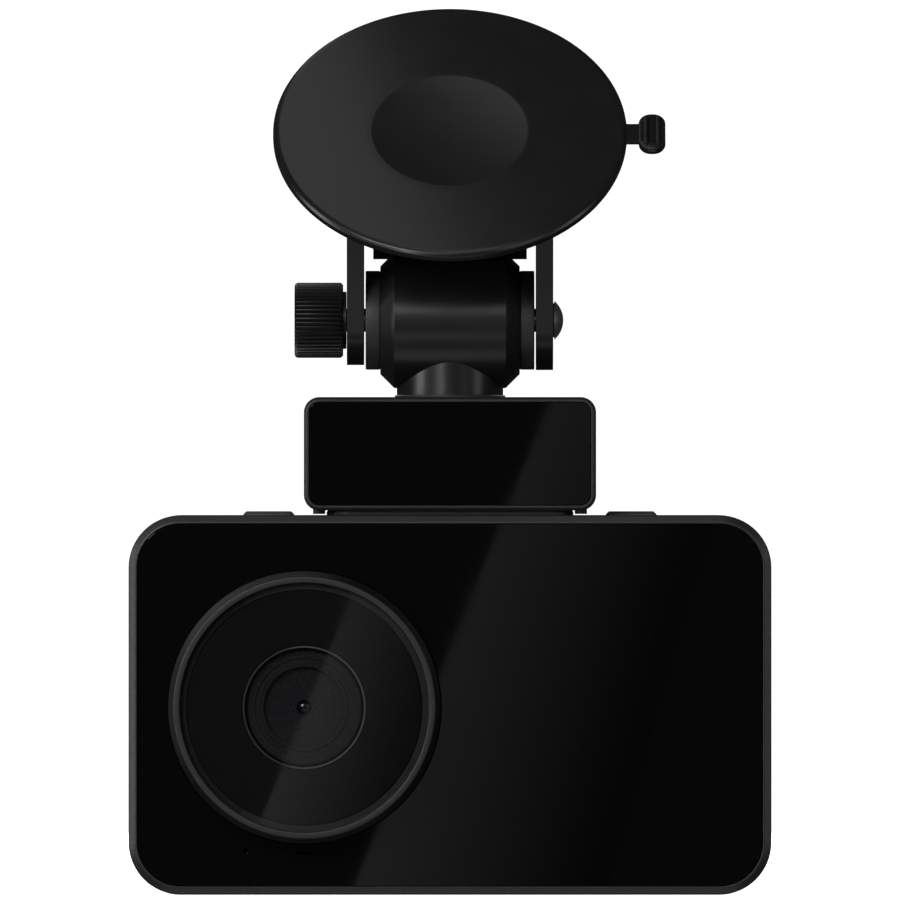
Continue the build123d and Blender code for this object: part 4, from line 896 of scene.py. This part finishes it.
def make_pad():
    """The suction pad: a soft disc with a shallow dimple, a thin lip and a ribbed pull tab."""
    radius = 22.85 * MM
    thick = 1.46 * MM
    dimple, deep = 10.29 * MM, 0.7 * MM
    curve = (dimple**2 + deep**2) / (2 * deep)
    profile = [(0, -deep)]
    for k in range(1, 31):
        r = dimple * k / 30
        profile.append((r, sqrt(curve**2 - dimple**2) - sqrt(curve**2 - r**2)))
    profile = [(r, min(h, 0)) for r, h in profile]
    ease = [(dimple + k * 0.12 * MM, -0.02 * MM * (1 - k / 4) ** 2) for k in range(1, 5)]
    profile += ease
    for k in range(1, 24):
        profile.append((ease[-1][0] + (radius - 0.9 * MM - ease[-1][0]) * k / 23, 0))
    profile += rounded(
        [
            (radius - 0.8 * MM, 0),
            (radius - 0.35 * MM, -0.1 * MM),
            (radius, -0.45 * MM),
            (radius, -thick + 0.25 * MM),
            (radius - 0.4 * MM, -thick),
            (0, -thick),
        ],
        [0, 0.3 * MM, 0.25 * MM, 0.2 * MM, 0.2 * MM, 0],
    )
    disc = lathe("pad_disc", profile, pad_centre, pad_out, 220, closed=False, smooth_angle=40)

    mid = -thick / 2
    neck_length, neck_width, neck_thick = 1.5 * MM, 3.3 * MM, 0.74 * MM
    head_length, head_width, head_thick = 3.46 * MM, 6.6 * MM, 1.1 * MM
    end = radius + neck_length
    neck_levels = [
        (0.12 * MM, -neck_thick / 2),
        (0, -neck_thick / 2 + 0.12 * MM),
        (0, neck_thick / 2 - 0.12 * MM),
        (0.12 * MM, neck_thick / 2),
    ]
    centre = ((radius - 1.2 * MM + end + 0.5 * MM) / 2, 0)
    length = end + 0.5 * MM - radius + 1.2 * MM
    neck = plate(
        "pad_neck",
        [round_box(length, neck_width, 0.15 * MM, centre)],
        neck_levels,
        pad_point(0, 0, mid),
        X,
        pad_up,
    )
    head_levels = [
        (0.3 * MM, -head_thick / 2),
        (0.08 * MM, -head_thick / 2 + 0.1 * MM),
        (0, -head_thick / 2 + 0.3 * MM),
        (0, head_thick / 2 - 0.3 * MM),
        (0.08 * MM, head_thick / 2 - 0.1 * MM),
        (0.3 * MM, head_thick / 2),
    ]
    head = plate(
        "pad_head",
        [round_box(head_length, head_width, 1.6 * MM, (end + head_length / 2, 0))],
        head_levels,
        pad_point(0, 0, mid),
        X,
        pad_up,
    )
    ribs = []
    for face in (1, -1):
        for shift in (-0.775, 0.775):
            middle_x = end + head_length / 2 + shift * MM
            rib_levels = [(0, -0.05 * MM), (0.02 * MM, 0.3 * MM), (0.1 * MM, 0.45 * MM), (0.2 * MM, 0.5 * MM)]
            ribs.append(
                plate(
                    f"pad_rib_{face}_{shift}",
                    [round_box(0.55 * MM, 5.2 * MM, 0.25 * MM, (face * middle_x, 0), 6)],
                    rib_levels,
                    pad_point(0, 0, mid + face * head_thick / 2),
                    X * face,
                    pad_up,
                )
            )
    boss = lathe(
        "pad_boss",
        rounded([(0, 0), (10 * MM, 0), (10 * MM, -1.25 * MM), (0, -1.25 * MM)], [0, 0.3 * MM, 0, 0]),
        pad_point(0, 0, -thick - 1.2 * MM),
        -pad_out,
        96,
        closed=False,
    )
    obj = joined("suction_pad_soft", [disc, neck, head, *ribs, boss])
    return declare(obj, "mount", "pad_rubber", finishes["pad_rubber"], "suction_pad")


def make_cup():
    """The rigid cup behind the pad: a shallow cone with a rim and a flat back."""
    thick = 1.46 * MM
    rim, back, depth = 21.5 * MM, 15.0 * MM, 8.0 * MM
    wall = 1.8 * MM
    profile = rounded(
        [
            (rim - wall, -thick),
            (rim, -thick),
            (rim, -thick - 1.1 * MM),
            (back, -depth),
            (3.05 * MM, -depth),
            (3.05 * MM, -depth + wall),
            (back - wall, -depth + wall),
            (rim - wall, -thick - 1.1 * MM),
        ],
        [0, 0.1 * MM, 0.5 * MM, 0.9 * MM, 0.2 * MM, 0, 0, 0],
    )
    obj = lathe("cup_housing_turned", profile, pad_centre, pad_out, 200)
    return declare(obj, "mount", "mount_plastic", finishes["mount_plastic"], "cup_housing")


def make_softened():
    """Moulded pieces whose CAD shape is right, with their edges rounded."""
    rows = [
        ("rear_housing", 0.12, "camera", "body_plastic"),
        ("contact_plate", 0.06, "camera", "body_plastic"),
        ("top_button_left", 0.12, "button_left", "key_plastic"),
        ("top_button_right", 0.12, "button_right", "key_plastic"),
        ("module_shell", 0.12, "module", "module_plastic"),
        ("swivel_washer", 0.04, "module", "rubber"),
        ("swivel_barrel", 0.06, "swivel", "mount_plastic"),
        ("yoke_arm_left", 0.3, "mount", "mount_plastic"),
        ("yoke_arm_right", 0.3, "mount", "mount_plastic"),
        ("cam_lever", 0.3, "lever", "mount_plastic"),
        ("screen_glass", 0.06, "camera", "panel_glass"),
    ]
    for number in range(1, 5):
        rows.append((f"rear_key_{number}", 0.08, f"key_{number}", "key_plastic"))
    lifts = {"contact_plate": 0.045, "swivel_washer": 0.035}
    for node, width, body, slot in rows:
        obj = softened(node, width * MM)
        if node in lifts:
            raise_top(obj, high(node).z, lifts[node] * MM)
        # The contact plate takes the lighter plastic, a painted highlight on its front face.
        look = "plate_plastic_painted_highlight" if node == "contact_plate" else slot
        declare(obj, body, slot, finishes[look], node)


# ---------------------------------------------------------------- stage
def emitter(name, location, target, width, height, power, spin=0.0, mirrored=True):
    """A soft area light that points at target. It isn't seen by the camera."""
    light = bpy.data.lights.new(name, "AREA")
    light.shape = "RECTANGLE"
    light.size, light.size_y = width, height
    light.energy = power
    obj = bpy.data.objects.new(name, light)
    obj.location = location
    aim = (Vector(target) - Vector(location)).to_track_quat("-Z", "Y")
    obj.rotation_mode = "QUATERNION"
    obj.rotation_quaternion = aim @ Matrix.Rotation(spin, 4, "Z").to_quaternion()
    obj.visible_camera = False
    obj.visible_glossy = mirrored
    bpy.context.collection.objects.link(obj)
    return obj


def make_floor():
    """A pale floor that stays white, with only a soft contact shadow."""
    mesh = bpy.data.meshes.new("floor")
    reach = 0.8
    mesh.from_pydata(
        [(-reach, -reach, 0), (reach, -reach, 0), (reach, reach, 0), (-reach, reach, 0)], [], [(0, 1, 2, 3)]
    )
    obj = bpy.data.objects.new("floor", mesh)
    bpy.context.collection.objects.link(obj)
    obj.location.z = -0.02 * MM
    material = bpy.data.materials.new("floor")
    material.use_nodes = True
    nodes, links = material.node_tree.nodes, material.node_tree.links
    nodes.clear()
    out = nodes.new("ShaderNodeOutputMaterial")
    add = nodes.new("ShaderNodeAddShader")
    glow = nodes.new("ShaderNodeEmission")
    glow.inputs["Strength"].default_value = 0.95
    matte = nodes.new("ShaderNodeBsdfDiffuse")
    matte.inputs["Color"].default_value = (0.8, 0.8, 0.8, 1)
    links.new(glow.outputs[0], add.inputs[0])
    links.new(matte.outputs[0], add.inputs[1])
    links.new(add.outputs[0], out.inputs["Surface"])
    mesh.materials.append(material)
    obj.visible_glossy = False
    obj.visible_diffuse = False
    obj.visible_shadow = False


def make_world():
    """White to the camera and dim to everything else."""
    world = bpy.data.worlds.new("studio")
    bpy.context.scene.world = world
    world.use_nodes = True
    nodes, links = world.node_tree.nodes, world.node_tree.links
    nodes.clear()
    out = nodes.new("ShaderNodeOutputWorld")
    mix = nodes.new("ShaderNodeMixShader")
    path = nodes.new("ShaderNodeLightPath")
    dim = nodes.new("ShaderNodeBackground")
    dim.inputs["Color"].default_value = (0.02, 0.02, 0.021, 1)
    white = nodes.new("ShaderNodeBackground")
    white.inputs["Color"].default_value = (1, 1, 1, 1)
    white.inputs["Strength"].default_value = 1.1
    links.new(path.outputs["Is Camera Ray"], mix.inputs["Fac"])
    links.new(dim.outputs[0], mix.inputs[1])
    links.new(white.outputs[0], mix.inputs[2])
    links.new(mix.outputs[0], out.inputs["Surface"])


CAMERA_DISTANCE = 5.0
CARD_DISTANCE = 3.0
SPAN = 116.17 * MM
camera_height = 57.42 * MM
camera_y = low("front_frame").y - CAMERA_DISTANCE


def make_camera():
    """A long lens straight in front of the object."""
    data = bpy.data.cameras.new("camera")
    data.sensor_width = 36
    data.lens = 36 * CAMERA_DISTANCE / SPAN
    data.clip_end = 20
    obj = bpy.data.objects.new("view_camera", data)
    obj.location = (0, camera_y, camera_height)
    obj.rotation_euler = (radians(90), 0, 0)
    bpy.context.collection.objects.link(obj)
    bpy.context.scene.camera = obj


def make_band_card():
    """A slanted card far in front, which the glossy panels mirror as a crisp diagonal band."""
    slope = 0.404
    spread = 1 + CARD_DISTANCE / CAMERA_DISTANCE
    edge = Vector((6.45 * MM, 47.7 * MM))
    rows, columns = 9, 32
    vertices, strengths = [], []
    for row in range(rows):
        z = (-70 + 260 * row / (rows - 1)) * MM
        seen = camera_height + (z - camera_height) / spread
        rise = min(max(seen / (48 * MM), 0), 1)
        left = (edge.x + slope * (seen - edge.y)) * spread
        width = (33 - 6 * rise) * MM * spread
        for column in range(columns + 1):
            along = column / columns
            vertices.append((left + width * along, low("front_frame").y - CARD_DISTANCE, z))
            strengths.append((0.29 - 0.08 * rise) * (1 - along) ** 1.3)
    faces = []
    for row in range(rows - 1):
        for column in range(columns):
            a = row * (columns + 1) + column
            faces.append([a, a + 1, a + columns + 2, a + columns + 1])
    mesh = bpy.data.meshes.new("band_card")
    mesh.from_pydata(vertices, [], faces)
    mesh.attributes.new("strength", "FLOAT", "POINT").data.foreach_set("value", strengths)
    obj = bpy.data.objects.new("band_card", mesh)
    bpy.context.collection.objects.link(obj)
    material = bpy.data.materials.new("band_card")
    material.use_nodes = True
    nodes, links = material.node_tree.nodes, material.node_tree.links
    nodes.clear()
    out = nodes.new("ShaderNodeOutputMaterial")
    glow = nodes.new("ShaderNodeEmission")
    fade = nodes.new("ShaderNodeAttribute")
    fade.attribute_name = "strength"
    links.new(fade.outputs["Fac"], glow.inputs["Strength"])
    links.new(glow.outputs[0], out.inputs["Surface"])
    mesh.materials.append(material)
    obj.visible_camera = False
    obj.visible_diffuse = False
    obj.visible_shadow = False


def make_lights():
    """Soft boxes: the key in front on the left, weaker ones round it, and two behind."""
    centre = (0, 0, 0.06)
    emitter("key_box", (-0.55, -1.05, 0.55), centre, 0.5, 0.5, 5.2)
    emitter("left_box", (-0.93, -0.37, 0.16), centre, 0.3, 0.6, 2.5)
    emitter("front_box", (-0.2, -1.15, 0.5), centre, 0.5, 0.2, 1.6)
    emitter("front_strip", (-0.4, -1.1, 0.12), centre, 0.08, 0.5, 0.9)
    emitter("right_fill", (0.95, -0.5, 0.2), centre, 0.3, 0.6, 0.8)
    emitter("right_front", (0.6, -1.0, 0.4), centre, 0.4, 0.5, 0.8)
    emitter("low_box", (0, -0.9, -0.4), centre, 0.7, 0.2, 0.3)
    emitter("under_box", (0, -0.25, -0.5), (0, 0, 0), 0.5, 0.3, 0.26)
    emitter("high_front", (-0.1, -0.5, 0.95), centre, 0.5, 0.3, 0.25)
    emitter("back_left", (-0.7, 0.9, 0.35), centre, 0.6, 0.5, 14, mirrored=False)
    emitter("back_right", (0.8, 0.8, 0.3), centre, 0.6, 0.5, 15, mirrored=False)
    emitter("pad_box", (-0.0166, -0.0184, 0.2), (-0.0166, -0.0184, 0), 0.24, 0.024, 0.0125, radians(-65.7))


# ---------------------------------------------------------------- the scene
dress_cad_nodes()
make_front_frame()
make_front_glass()
make_turret()
make_cover_glass()
make_hood()
make_accent_ring()
make_lens_barrel()
make_front_element()
make_lens_stop()
make_deep_element()
make_module_front()
make_discs()
make_knob()
make_screw()
make_pad()
make_cup()
make_softened()
make_camera()
make_floor()
make_world()
make_band_card()
make_lights()
bpy.context.scene.view_settings.view_transform = "Standard"
